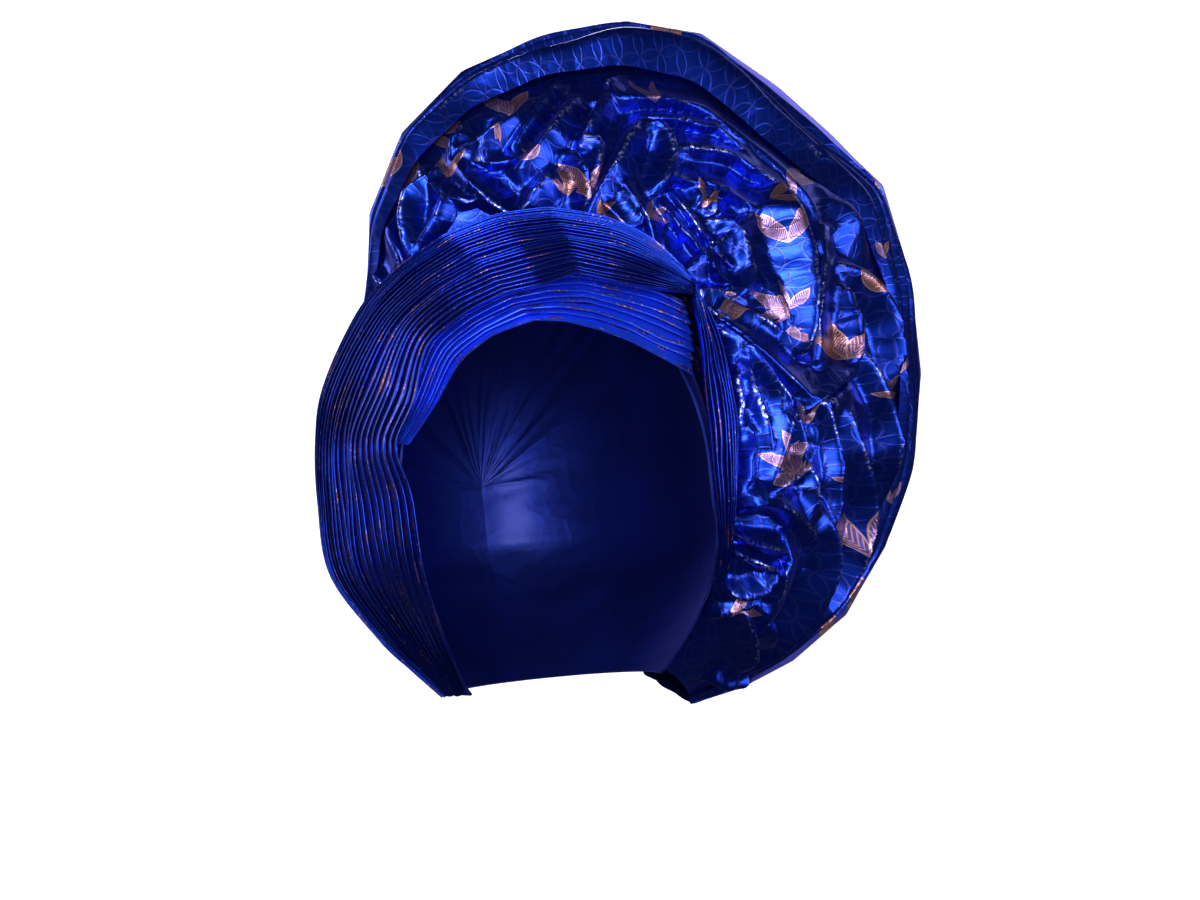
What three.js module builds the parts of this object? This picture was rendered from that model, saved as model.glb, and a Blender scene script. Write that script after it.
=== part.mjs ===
// A pre-tied head tie of stiff taffeta. A crown wrap holds the head, three pleated bands frame the
// face, and a tall fan of crumpled cloth, edged with nested pleats, rises behind them.
// Lengths are in millimetres and angles in degrees. +Z is up, the face looks along -Y and +X is the
// wearer's left. The origin is inside the crown, where it sits on the top of the head.
import * as THREE from "three";
import { mergeVertices } from "three/addons/utils/BufferGeometryUtils.js";

// The head that the crown wrap is made for.
const headBreadth = 154;
const headLength = 194;
const crownHeight = 100; // from the ears up to the top of the head
const hemDrop = 85; // from the ears down to the hem
const jawStart = 25; // how far below the ears the sides begin to draw in
const jawNarrowing = 0.46; // share of the breadth that is drawn in at the hem

// The cloth.
const crownWall = 2;
const pleatWall = 1.6;
const fanWall = 1.8;
const layerGap = 0.9; // clearance between layers that are pinned together
const footGap = 1.9; // clearance under a tucked edge, which is straight where the crown is round

// The pleated bands. A lift in the tables below is a share of the stand-off.
const standOff = 24; // how far the highest pleats stand off the head
const haloPleatCount = 12;
const haloPleatRise = 2.2;
const browPleatCount = 6;
const browPleatRise = 1.8;
const templePleatCount = 5;
const templePleatRise = 1.8;
const tuckAngle = 3; // how far behind a band its tucked edge meets the crown
const tuckWallAngle = 1; // thickness of the tucked edge, as an angle
const pleatSlope = 0.88; // share of a pleat's width over which it slopes down

// The fan.
const fanReach = 217; // from the ear line's middle to the furthest corner of the rim
const fanDepth = 50; // how far the rim leans back behind the ears
const fanBulge = 22; // how far the crumpled face stands forward of a straight sheet
const fanBackBulge = 7;
const foldRise = 11; // height of a full fold
const foldWidth = 10; // half width that the folds' widths are shares of
const rimBandWidth = 20; // width of the nested pleats where they are widest
const rimSetbackShare = 0.03; // share of the sheet that shows beyond them
const rimPleatCount = 4;
const rimPleatRise = 1.9;
const widestBandShare = 0.4; // share of the sheet that they cover at most
const rimSlices = 2; // grid lines of the rim's pleats for each station
const faceSteps = 18; // grid lines of the fan's face from root to rim
const faceSlices = 4; // and for each station
const backSteps = 6;
const backSlices = 2;
const faceShare = 0.985; // the face stops a little short of the back sheet's edge
const backStep = 1.3; // how many layers the back sheet's edge lies behind the face's

const radians = THREE.MathUtils.degToRad;
const { lerp, clamp } = THREE.MathUtils;

// Turns rows of numbers into objects with the named columns.
const table = (columns, rows) =>
  rows.map((row) => Object.fromEntries(columns.split(" ").map((name, i) => [name, row[i]])));

// Each band's sections run from the wearer's right, over the brow, to the left. "over" turns from the
// right ear (-90) over the crown (0) to the left ear (90), "drop" is the share of the hem's drop below
// an ear, "swing" turns from the brow (-90) to the back of the head (90), and "lift" stands off the
// head. A section's front edge is nearer the face, and its back edge nearer the crown.
const bandColumns =
  "frontOver frontDrop frontSwing frontLift backOver backDrop backSwing backLift";
const haloSections = table(bandColumns, [
  [-90, 0.98, -20, 0.28, -90, 1, 8, 0.3],
  [-90, 0.84, -28, 0.2, -90, 0.84, 14, 0.29],
  [-90, 0.68, -34, 0.2, -90, 0.68, 18, 0.33],
  [-90, 0.35, -40, 0.25, -90, 0.35, 22, 0.42],
  [-90, 0, -40, 0.3, -90, 0, 22, 0.46],
  [-77, 0, -36, 0.34, -76, 0, 18, 0.47],
  [-64, 0, -40, 0.4, -64, 0, 12, 0.49],
  [-48, 0, -38, 0.44, -46, 0, 2, 0.5],
  [-33, 0, -42, 0.5, -34, 0, -4, 0.51],
  [-19, 0, -45, 0.55, -20, 0, -9, 0.53],
  [-6, 0, -47, 0.6, -6, 0, -11, 0.55],
  [8, 0, -45, 0.66, 8, 0, -13, 0.64],
  [23, 0, -46, 0.76, 22, 0, -16, 0.76],
  [36, 0, -43, 0.88, 34, 0, -21, 0.88],
  [46, 0, -36, 0.96, 44, 0, -28, 0.98],
]);
const browSections = table(bandColumns, [
  [-76, 0, -37, 0.15, -76, 0, -33, 0.17],
  [-63, 0, -43, 0.1, -64, 0, -35, 0.2],
  [-46, 0, -45, 0.09, -46, 0, -34, 0.22],
  [-30, 0, -47.5, 0.09, -34, 0, -37, 0.26],
  [-11, 0, -50, 0.09, -20, 0, -40, 0.32],
  [3, 0, -52, 0.09, -6, 0, -42, 0.38],
  [19, 0, -53, 0.1, 8, 0, -41, 0.42],
  [33, 0, -52, 0.12, 22, 0, -41, 0.52],
  [47, 0, -49, 0.16, 35, 0, -38, 0.62],
  [62.5, 0, -40, 0.22, 45.5, 0, -34, 0.72],
]);
const templeSections = table(bandColumns, [
  [47, 0, -36, 0.94, 45.2, 0, -28.5, 0.96],
  [56, 0, -40, 0.68, 58, 0, -33, 0.86],
  [64, 0, -43, 0.5, 68, 0, -36, 0.78],
  [79, 0, -46, 0.34, 80, 0, -37, 0.68],
  [90, 0.05, -46, 0.28, 90, 0.02, -38, 0.56],
  [90, 0.24, -45, 0.24, 90, 0.22, -38, 0.44],
  [90, 0.44, -41, 0.22, 90, 0.42, -36, 0.34],
  [90, 0.62, -35, 0.2, 90, 0.62, -30, 0.28],
]);

// The crown wrap's sections: where its face-side edge lies.
const crownSections = table("over drop frontSwing", [
  [-90, 1, -16],
  [-90, 0.82, -22],
  [-90, 0.62, -27],
  [-90, 0.42, -30],
  [-90, 0.22, -31],
  [-90, 0, -32],
  [-76, 0, -33],
  [-64, 0, -35],
  [-46, 0, -38],
  [-34, 0, -41],
  [-20, 0, -44],
  [-6, 0, -45],
  [8, 0, -45],
  [22, 0, -44],
  [34, 0, -42],
  [44, 0, -40],
  [52, 0, -39],
  [60, 0, -39],
  [70, 0, -39],
  [80, 0, -39],
  [90, 0, -39],
  [90, 0.22, -39],
  [90, 0.42, -36],
  [90, 0.62, -30],
  [90, 0.82, -23],
  [90, 1, -16],
]);
const crownSteps = 11;

// The fan's stations, from the low end at the wearer's right ear over the crown to the left jaw.
// "angle" is the rim's place about the ear line, anticlockwise from +X, "reach" and "lean" are shares
// of the fan's reach and depth, "bulge" is a share of the fan's bulge, and "edge" of the rim band.
const fanStations = table("over drop swing backSwing angle reach lean bulge edge", [
  [-54, 0, 13, 20, 130, 0.43, 0.3, 0.1, 0.3],
  [-46, 0, 7, 28, 122, 0.47, 0.5, 0.2, 0.45],
  [-34, 0, 1, 38, 112, 0.6, 0.7, 0.4, 0.6],
  [-20, 0, -4, 46, 101, 0.725, 0.85, 0.65, 0.65],
  [-6, 0, -6, 52, 90, 0.825, 0.95, 0.7, 0.65],
  [8, 0, -8, 54, 79, 0.9, 1, 0.7, 0.65],
  [22, 0, -11, 54, 69, 0.965, 1, 0.7, 0.7],
  [34, 0, -16, 54, 60, 1, 1, 0.75, 0.75],
  [44, 0, -21, 53, 49, 0.985, 0.97, 0.85, 0.8],
  [52, 0, -24, 52, 40, 0.98, 0.93, 1, 0.9],
  [60, 0, -28, 51, 32, 0.99, 0.88, 1, 1],
  [70, 0, -30, 50, 21, 0.935, 0.84, 1, 1],
  [80, 0, -32, 50, 9, 0.88, 0.8, 1, 1],
  [90, 0, -33, 48, -3, 0.83, 0.75, 1, 1],
  [90, 0.22, -33, 44, -15, 0.775, 0.7, 1, 0.95],
  [90, 0.42, -31, 38, -27, 0.725, 0.62, 0.9, 0.85],
  [90, 0.62, -25, 30, -38, 0.66, 0.52, 0.7, 0.75],
  [90, 0.82, -14, 22, -48, 0.6, 0.42, 0.45, 0.6],
  [90, 1, -6, 12, -58, 0.545, 0.3, 0.2, 0.45],
]);

// The fan's main folds. Each is a ridge through three places, given by the rim's angle and by the
// share of the way from root to rim. Its height and its half width are shares of foldRise and
// foldWidth.
const foldColumns = "angleA shareA angleB shareB angleC shareC height width";
const fanFolds = table(foldColumns, [
  [112, 0.62, 96, 0.66, 80, 0.78, 0.7, 1.5],
  [98, 0.36, 89, 0.46, 78, 0.54, 0.9, 1.5],
  [88, 0.12, 83, 0.26, 76, 0.42, 0.8, 1.3],
  [76, 0.76, 62, 0.79, 46, 0.78, 1, 1.7],
  [72, 0.44, 70, 0.3, 68, 0.14, 0.9, 1.3],
  [68, 0.58, 57, 0.57, 46, 0.62, 1, 1.5],
  [60, 0.36, 54, 0.26, 46, 0.16, 1, 1.3],
  [50, 0.4, 43, 0.3, 37, 0.18, 0.9, 1.3],
  [42, 0.8, 32, 0.8, 22, 0.82, 0.8, 1.5],
  [40, 0.56, 32, 0.48, 22, 0.46, 1, 1.4],
  [36, 0.1, 25, 0.2, 12, 0.32, 1, 1.3],
  [28, 0.64, 18, 0.64, 7, 0.66, 1, 1.5],
  [22, 0.06, 11, 0.1, 2, 0.16, 0.9, 1.2],
  [4, 0.36, -7, 0.38, -18, 0.44, 1, 1.4],
  [2, 0.66, -11, 0.68, -24, 0.72, 0.9, 1.5],
  [-12, 0.1, -18, 0.18, -23, 0.32, 0.9, 1.2],
  [-26, 0.48, -34, 0.5, -44, 0.54, 1, 1.4],
  [-32, 0.08, -33, 0.16, -33, 0.28, 0.8, 1.2],
  [-32, 0.76, -39, 0.74, -48, 0.7, 0.8, 1.3],
]);
const ridgeSteps = 8;
const rootFadeShare = 0.16; // share of the sheet over which the folds die out towards the root
const rimFadeShare = 0.1; // and towards the rim's pleats
const rimMarginShare = 0.05; // share of the sheet that stays flat beside the rim's pleats

// A point on the head form, stood off by a lift.
function onHead({ over, drop = 0, swing, lift = 0 }) {
  const a = radians(over);
  const b = radians(swing);
  const fall = drop * hemDrop;
  const drawn = Math.max(0, (fall - jawStart) / Math.max(1, hemDrop - jawStart)) ** 1.5;
  const narrow = 1 - jawNarrowing * drawn;
  return new THREE.Vector3(
    (headBreadth / 2 + lift) * Math.cos(b) * Math.sin(a) * narrow,
    (headLength / 2 + lift) * Math.sin(b) * (swing > 0 ? narrow : 1),
    (crownHeight + lift) * Math.cos(b) * Math.cos(a) - crownHeight - fall,
  );
}

// The normals of a grid of points, from the directions of its rows and columns.
function gridNormals(grid) {
  const rows = grid.length;
  const columns = grid[0].length;
  return grid.map((row, i) =>
    row.map((point, j) => {
      const along = grid[Math.min(i + 1, rows - 1)][j].clone().sub(grid[Math.max(i - 1, 0)][j]);
      const across = row[Math.min(j + 1, columns - 1)].clone().sub(row[Math.max(j - 1, 0)]);
      return along.cross(across).normalize();
    }),
  );
}

// The same grid moved along its normals. A distance is a number, or a function of row and column.
function offsetGrid(grid, distance) {
  const normals = gridNormals(grid);
  const far = typeof distance === "function" ? distance : () => distance;
  return grid.map((row, i) =>
    row.map((point, j) => point.clone().addScaledVector(normals[i][j], far(i, j))),
  );
}

// A closed wall between two grids of the same size. A seamed wall's last column is closed on itself.
function wall(outer, inner, seamed = false) {
  const rows = outer.length;
  const columns = outer[0].length;
  const positions = [];
  const quad = (a, b, c, d) => {
    for (const p of [a, b, c, a, c, d]) positions.push(p.x, p.y, p.z);
  };
  for (let i = 0; i + 1 < rows; i++)
    for (let j = 0; j + 1 < columns; j++) {
      quad(outer[i][j], outer[i + 1][j], outer[i + 1][j + 1], outer[i][j + 1]);
      quad(inner[i][j], inner[i][j + 1], inner[i + 1][j + 1], inner[i + 1][j]);
    }
  for (let i = 0; i + 1 < rows; i++) {
    quad(inner[i][0], inner[i + 1][0], outer[i + 1][0], outer[i][0]);
    const last = columns - 1;
    if (!seamed) quad(outer[i][last], outer[i + 1][last], inner[i + 1][last], inner[i][last]);
  }
  for (let j = 0; j + 1 < columns; j++) {
    quad(outer[0][j], outer[0][j + 1], inner[0][j + 1], inner[0][j]);
    quad(inner[rows - 1][j], inner[rows - 1][j + 1], outer[rows - 1][j + 1], outer[rows - 1][j]);
  }
  return closedGeometry(positions);
}

// A geometry with shared corners merged and the triangles that merging flattened left out.
function closedGeometry(positions) {
  const loose = new THREE.BufferGeometry();
  loose.setAttribute("position", new THREE.Float32BufferAttribute(positions, 3));
  const merged = mergeVertices(loose, 1e-3);
  const index = [];
  for (let i = 0; i < merged.index.count; i += 3) {
    const [a, b, c] = [0, 1, 2].map((k) => merged.index.getX(i + k));
    if (a !== b && b !== c && c !== a) index.push(a, b, c);
  }
  merged.setIndex(index);
  merged.computeVertexNormals();
  return merged;
}

function named(name, geometry, material) {
  const mesh = new THREE.Mesh(geometry, material);
  mesh.name = name;
  return mesh;
}

// Where the lines of overlapping pleats lie across a band, and how high each stands: every pleat has
// a high folded edge towards the face and slopes down under the fold of the next one.
function pleatLines(count, rise) {
  const lines = [];
  for (let k = 0; k < count; k++) {
    lines.push({ share: k / count, height: rise });
    lines.push({ share: (k + pleatSlope) / count, height: 0 });
  }
  lines.push({ share: 1, height: rise });
  return lines;
}

// A pleated band: straight from section to section, curved round the head across it, with its back
// edge tucked down to the crown wrap.
function pleatedBand(sections, count, rise) {
  const lines = pleatLines(count, rise);
  const at = (s, share) =>
    onHead({
      over: lerp(s.frontOver, s.backOver, share),
      drop: lerp(s.frontDrop, s.backDrop, share),
      swing: lerp(s.frontSwing, s.backSwing, share),
      lift: lerp(s.frontLift, s.backLift, share) * standOff,
    });
  const middle = sections.map((s) => lines.map(({ share }) => at(s, share)));
  const outer = offsetGrid(middle, (i, j) => lines[j].height);
  const inner = offsetGrid(middle, (i, j) => lines[j].height - pleatWall);
  sections.forEach((s, i) => {
    const foot = (behind) =>
      onHead({
        over: s.backOver,
        drop: s.backDrop,
        swing: s.backSwing + behind,
        lift: crownWall + footGap,
      });
    outer[i].push(foot(tuckAngle));
    inner[i].push(foot(tuckAngle - tuckWallAngle));
  });
  return wall(outer, inner);
}

// The wrap that holds the head: a hollow closed at the back of the head, open at the face and neck.
function crownWrap() {
  const shell = (lift) =>
    crownSections.map((s) => {
      const line = [];
      for (let k = 0; k <= crownSteps; k++)
        line.push(
          onHead({
            over: s.over,
            drop: s.drop,
            swing: lerp(s.frontSwing, 90, k / crownSteps),
            lift,
          }),
        );
      return line;
    });
  return wall(shell(crownWall), shell(0), true);
}

// The stations that a grid line between two rows of the table stands for.
function between(rows, place) {
  const i = clamp(Math.floor(place), 0, rows.length - 2);
  return { low: rows[i], high: rows[i + 1], share: place - i };
}

// A number from the fan's table at a place between its stations.
function stationValue(column, place) {
  const { low, high, share } = between(fanStations, place);
  return lerp(low[column], high[column], share);
}

// A point along a straight line from root to rim, for one station.
function fanChord(station, share, swing) {
  const root = onHead({
    over: station.over,
    drop: station.drop,
    swing,
    lift: crownWall + layerGap + fanWall / 2,
  });
  const angle = radians(station.angle);
  const reach = station.reach * fanReach;
  const rim = new THREE.Vector3(
    reach * Math.cos(angle),
    station.lean * fanDepth,
    reach * Math.sin(angle) - crownHeight,
  );
  return root.lerp(rim, share);
}

// A point of the fan's smooth face, at a place between stations and a share from root to rim.
function faceBase(place, share) {
  const { low, high, share: mix } = between(fanStations, place);
  const point = fanChord(low, share, low.swing).lerp(fanChord(high, share, high.swing), mix);
  const bulge = stationValue("bulge", place) * fanBulge * Math.sin(Math.PI * share ** 0.8);
  return point.setY(point.y - bulge);
}

// A point of the fan's plain back.
function backBase(place, share) {
  const { low, high, share: mix } = between(fanStations, place);
  const point = fanChord(low, share, low.backSwing).lerp(
    fanChord(high, share, high.backSwing),
    mix,
  );
  const behind = backStep * (fanWall + layerGap) * share;
  const bulge = stationValue("bulge", place) * fanBackBulge * Math.sin(Math.PI * share);
  return point.setY(point.y + behind + bulge);
}

// The place between stations where the rim stands at an angle.
function placeAt(angle) {
  const i = fanStations.findIndex((s) => s.angle <= angle);
  if (i <= 0) return i < 0 ? fanStations.length - 1 : 0;
  const before = fanStations[i - 1];
  return i - 1 + (before.angle - angle) / (before.angle - fanStations[i].angle);
}

// Each fold's ridge as a line of points on the smooth face.
const foldRidges = fanFolds.map((fold) => {
  const curve = new THREE.QuadraticBezierCurve(
    new THREE.Vector2(fold.angleA, fold.shareA),
    new THREE.Vector2(
      2 * fold.angleB - (fold.angleA + fold.angleC) / 2,
      2 * fold.shareB - (fold.shareA + fold.shareC) / 2,
    ),
    new THREE.Vector2(fold.angleC, fold.shareC),
  );
  const line = curve.getPoints(ridgeSteps).map(({ x, y }) => faceBase(placeAt(x), y));
  return { ...fold, line };
});

// How far the folds lift the fan's face at a point: the highest fold there counts.
function foldHeight(point, share, band) {
  const left = 1 - band - rimMarginShare - share;
  const ease = Math.min(1, share / rootFadeShare, left / rimFadeShare);
  let best = 0;
  for (const { line, height, width } of foldRidges)
    for (let k = 0; k + 1 < line.length; k++) {
      const near = new THREE.Line3(line[k], line[k + 1]).closestPointToPoint(
        point,
        true,
        new THREE.Vector3(),
      );
      const side = near.distanceTo(point) / (width * foldWidth);
      best = Math.max(best, height * foldRise * (1 - Math.min(1, side) ** 2) ** 2);
    }
  return best * Math.max(0, ease);
}

// A grid over the fan, up to a share of the way to the rim, from a function of place and share.
function fanGrid(base, slices, steps, top) {
  const grid = [];
  const last = (fanStations.length - 1) * slices;
  for (let i = 0; i <= last; i++) {
    const row = [];
    for (let j = 0; j <= steps; j++) row.push(base(i / slices, (j / steps) * top));
    grid.push(row);
  }
  return grid;
}

// The share of the way from root to rim that the rim's pleats cover.
function bandShare(place) {
  const sheet = faceBase(place, 0).distanceTo(faceBase(place, 1));
  return Math.min(widestBandShare, (stationValue("edge", place) * rimBandWidth) / sheet);
}

// The fan's crumpled face: the folds stand on the smooth sheet, and the wall follows them.
function fanFace() {
  const base = fanGrid(faceBase, faceSlices, faceSteps, faceShare);
  const folded = offsetGrid(base, (i, j) =>
    foldHeight(base[i][j], (j / faceSteps) * faceShare, bandShare(i / faceSlices)),
  );
  return wall(offsetGrid(folded, fanWall / 2), offsetGrid(folded, -fanWall / 2));
}

// The fan's plain back sheet.
function fanBack() {
  const base = fanGrid(backBase, backSlices, backSteps, 1);
  return wall(offsetGrid(base, fanWall / 2), offsetGrid(base, -fanWall / 2));
}

// The nested pleats along the rim, in front of the fan's face.
function rimBand() {
  const lines = pleatLines(rimPleatCount, rimPleatRise);
  const grid = [];
  const last = (fanStations.length - 1) * rimSlices;
  for (let i = 1; i <= last; i++) {
    const place = i / rimSlices;
    const width = bandShare(place);
    grid.push(lines.map(({ share }) => faceBase(place, 1 - rimSetbackShare - width * share)));
  }
  const under = fanWall / 2 + layerGap;
  const outer = offsetGrid(grid, (i, j) => -under - pleatWall - lines[j].height);
  const inner = offsetGrid(grid, (i, j) => -under - lines[j].height);
  return wall(inner, outer);
}

const taffeta = { color: 0x0a1fa8, roughness: 0.38, metalness: 0.55, side: THREE.DoubleSide };
const cloth = (changes) => new THREE.MeshStandardMaterial({ ...taffeta, ...changes });

const headTie = new THREE.Group();
headTie.add(
  named("crown_wrap", crownWrap(), cloth({ color: 0x0a1480, roughness: 0.5 })),
  named("brow_pleats", pleatedBand(browSections, browPleatCount, browPleatRise), cloth()),
  named("halo_pleats", pleatedBand(haloSections, haloPleatCount, haloPleatRise), cloth()),
  named(
    "temple_pleats",
    pleatedBand(templeSections, templePleatCount, templePleatRise),
    cloth(),
  ),
  named("fan_face", fanFace(), cloth({ color: 0x0c2be0, roughness: 0.3 })),
  named("fan_back", fanBack(), cloth({ color: 0x0a1fa8 })),
  named("rim_pleats", rimBand(), cloth({ color: 0x1a2fd0, roughness: 0.32 })),
);

export default headTie;
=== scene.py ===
"""A pre-tied head tie of royal blue metallic jacquard taffeta, as it is worn.

The cloth is one long strip. It is pleated round the face, gathered at a pinch over the left brow and
opened behind the pleats into a tall crumpled fan. Each section of it is a sheet, made in metres on
the same head form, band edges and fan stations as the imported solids.
"""

import logging
import math
from dataclasses import dataclass
from enum import Enum

import bpy
import numpy as np
from mathutils import Matrix, Vector


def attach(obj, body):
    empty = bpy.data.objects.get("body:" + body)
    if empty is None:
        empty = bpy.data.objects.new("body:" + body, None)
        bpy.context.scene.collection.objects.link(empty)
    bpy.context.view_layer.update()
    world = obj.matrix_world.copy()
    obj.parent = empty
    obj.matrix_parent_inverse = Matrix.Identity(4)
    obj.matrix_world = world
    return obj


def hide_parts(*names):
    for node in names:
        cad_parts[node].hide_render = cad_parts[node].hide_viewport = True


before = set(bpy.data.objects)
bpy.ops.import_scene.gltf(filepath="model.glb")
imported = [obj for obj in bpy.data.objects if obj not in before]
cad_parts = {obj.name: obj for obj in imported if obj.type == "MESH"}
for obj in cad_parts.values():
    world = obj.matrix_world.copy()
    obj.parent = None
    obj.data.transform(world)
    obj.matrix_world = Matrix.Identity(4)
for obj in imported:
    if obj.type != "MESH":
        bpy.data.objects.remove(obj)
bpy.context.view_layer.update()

LOG = logging.getLogger("head_tie")
MATH = "ShaderNodeMath"
VECTOR = "ShaderNodeVectorMath"
TINY_LENGTH = 1e-12
TINY_WEIGHT = 1e-9
# The shares of a normal's x, y and z that a fold rises along, mostly towards the front.
FORWARD_SHARES = (0.4, 1.0, 0.4)


def linear(hex_colour: str) -> tuple[float, float, float, float]:
    """Turn an sRGB hex colour into a linear one.

    Args:
        hex_colour: Six hex digits, such as "1433FF".

    Returns:
        Red, green, blue and an alpha of 1.
    """
    shares = [int(hex_colour[i : i + 2], 16) / 255 for i in (0, 2, 4)]
    red, green, blue = (s / 12.92 if s <= 0.04045 else ((s + 0.055) / 1.055) ** 2.4 for s in shares)
    return red, green, blue, 1.0


def add_node(
    tree: bpy.types.NodeTree,
    kind: str,
    inputs: dict | None = None,
    **settings: object,
) -> bpy.types.Node:
    """Add a shader node, set it up and link what it reads.

    Args:
        tree: The node tree that gets the node.
        kind: The node's type.
        inputs: Values or output sockets, by the name or number of the input they go to.
        **settings: Properties of the node itself.

    Returns:
        The new node.
    """
    node = tree.nodes.new(kind)
    for name, value in settings.items():
        setattr(node, name, value)
    for key, value in (inputs or {}).items():
        if isinstance(value, bpy.types.NodeSocket):
            tree.links.new(value, node.inputs[key])
        else:
            node.inputs[key].default_value = value
    return node


def lerp(low: np.ndarray, high: np.ndarray, share: np.ndarray) -> np.ndarray:
    """Return what lies a share of the way from low to high."""
    return low + (high - low) * share


def unit(vectors: np.ndarray) -> np.ndarray:
    """Return vectors of length 1 along the last axis."""
    return vectors / np.maximum(np.linalg.norm(vectors, axis=-1, keepdims=True), TINY_LENGTH)


def grid_normals(grid: np.ndarray) -> np.ndarray:
    """Return the normals of a grid of points, from its rows and columns."""
    along = np.gradient(grid, axis=0)
    across = np.gradient(grid, axis=1)
    return unit(np.cross(along, across))


def forward(normals: np.ndarray) -> np.ndarray:
    """Turn normals towards the front, so that folds rise out of the fan and not past its rim."""
    return unit(normals * np.array(FORWARD_SHARES))


def smooth_noise(shape: tuple[int, int], cells: tuple[int, int], seed: int) -> np.ndarray:
    """Make a smooth random grid.

    Args:
        shape: Rows and columns wanted.
        cells: Random cells along the rows and the columns.
        seed: The seed of the random draw.

    Returns:
        Values from about -1 to 1.
    """
    rng = np.random.default_rng(seed)
    knots = rng.uniform(-1, 1, (cells[0] + 2, cells[1] + 2))
    u = np.linspace(0, cells[0], shape[0])[:, None]
    v = np.linspace(0, cells[1], shape[1])[None, :]
    i, j = np.floor(u).astype(int), np.floor(v).astype(int)
    i, j = np.minimum(i, cells[0]), np.minimum(j, cells[1])
    a, b = u - i, v - j
    a, b = a * a * (3 - 2 * a), b * b * (3 - 2 * b)
    low = lerp(knots[i, j], knots[i, j + 1], b)
    high = lerp(knots[i + 1, j], knots[i + 1, j + 1], b)
    return lerp(low, high, a)


@dataclass(frozen=True)
class Crumpling:
    """How slack stiff cloth settles: its threads keep their length and it resists bending."""

    slack: float = 0.010
    rounds: int = 24
    highest: float = 0.019
    sideways: float = 0.006
    haste: float = 1.6
    links: tuple[tuple[int, int, float], ...] = (
        (1, 0, 1.0),
        (0, 1, 1.0),
        (1, 1, 0.5),
        (1, -1, 0.5),
        (2, 0, 0.6),
        (0, 2, 0.6),
        (4, 0, 0.4),
        (0, 4, 0.4),
        (8, 0, 0.15),
        (0, 8, 0.15),
    )

    @staticmethod
    def ends(grid: np.ndarray, down: int, side: int) -> tuple[np.ndarray, np.ndarray]:
        """Return views of the two ends of every link of one kind."""
        rows, columns = grid.shape[:2]
        if side < 0:
            return grid[: rows - down, -side:], grid[down:, : columns + side]
        return grid[: rows - down, : columns - side], grid[down:, side:]

    def settle(self, folded: np.ndarray, smooth: np.ndarray, free: np.ndarray) -> np.ndarray:
        """Let the cloth settle.

        Args:
            folded: The grid of points that it starts from.
            smooth: The same grid without its folds, which it stays in front of.
            free: How freely each point moves, from 0 to 1.

        Returns:
            The settled grid.
        """
        normals = forward(grid_normals(smooth))
        grid = folded.copy()
        rests = []
        for down, side, _ in self.links:
            low, high = self.ends(folded, down, side)
            rests.append(np.linalg.norm(high - low, axis=-1) * (1 + self.slack))
        for _ in range(self.rounds):
            shift = np.zeros_like(grid)
            weight = np.full(grid.shape[:2], TINY_WEIGHT)
            for (down, side, stiffness), rest in zip(self.links, rests):
                low, high = self.ends(grid, down, side)
                run = high - low
                length = np.linalg.norm(run, axis=-1)
                error = (length - rest) / np.maximum(length, TINY_WEIGHT)
                if max(down, abs(side)) > 1:
                    error = np.minimum(error, 0)
                move = run * (0.5 * stiffness * error)[..., None]
                low_shift, high_shift = self.ends(shift, down, side)
                low_shift += move
                high_shift -= move
                low_weight, high_weight = self.ends(weight, down, side)
                low_weight += stiffness
                high_weight += stiffness
            grid += shift * (self.haste * free / weight)[..., None]
            off = grid - smooth
            out = np.einsum("ijk,ijk->ij", off, normals)
            flat = off - out[..., None] * normals
            wide = np.linalg.norm(flat, axis=-1)
            flat *= np.minimum(1, self.sideways / np.maximum(wide, TINY_WEIGHT))[..., None]
            out = np.clip(out, 0, self.highest * free)
            grid = smooth + out[..., None] * normals + flat
        return grid


@dataclass(frozen=True)
class HeadForm:
    """The head that the crown is made for, as a rounded form with a drawn-in jaw."""

    breadth: float = 0.154
    length: float = 0.194
    crown_height: float = 0.100
    hem_drop: float = 0.085
    jaw_start: float = 0.025
    jaw_narrowing: float = 0.46
    jaw_curve: float = 1.5

    def point(
        self, over: np.ndarray, drop: np.ndarray, swing: np.ndarray, lift: np.ndarray
    ) -> np.ndarray:
        """Find points that stand off the head.

        Args:
            over: Degrees from the top of the head towards the left ear (90) or the right (-90).
            drop: Share of the way from an ear down to the hem.
            swing: Degrees from over the ears to the back (90) or the brow (-90).
            lift: Metres off the head.

        Returns:
            The points, with x, y and z along the last axis.
        """
        a, b = np.radians(over), np.radians(swing)
        fall = drop * self.hem_drop
        drawn = np.maximum(0, (fall - self.jaw_start) / (self.hem_drop - self.jaw_start))
        drawn = drawn**self.jaw_curve
        narrow = 1 - self.jaw_narrowing * drawn
        x = (self.breadth / 2 + lift) * np.cos(b) * np.sin(a) * narrow
        y = (self.length / 2 + lift) * np.sin(b) * np.where(swing > 0, narrow, 1)
        z = (self.crown_height + lift) * np.cos(b) * np.cos(a) - self.crown_height - fall
        return np.stack(np.broadcast_arrays(x, y, z), axis=-1)


HEAD = HeadForm()
# Metres off the head at which the crown's cloth lies, and a band's at a lift of 1. The last is how far
# the end of a band's last pleat stands off the crown's cloth.
CROWN_WALL = 0.002
STAND_OFF = 0.024
FOOT_GAP = 0.0019


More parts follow.
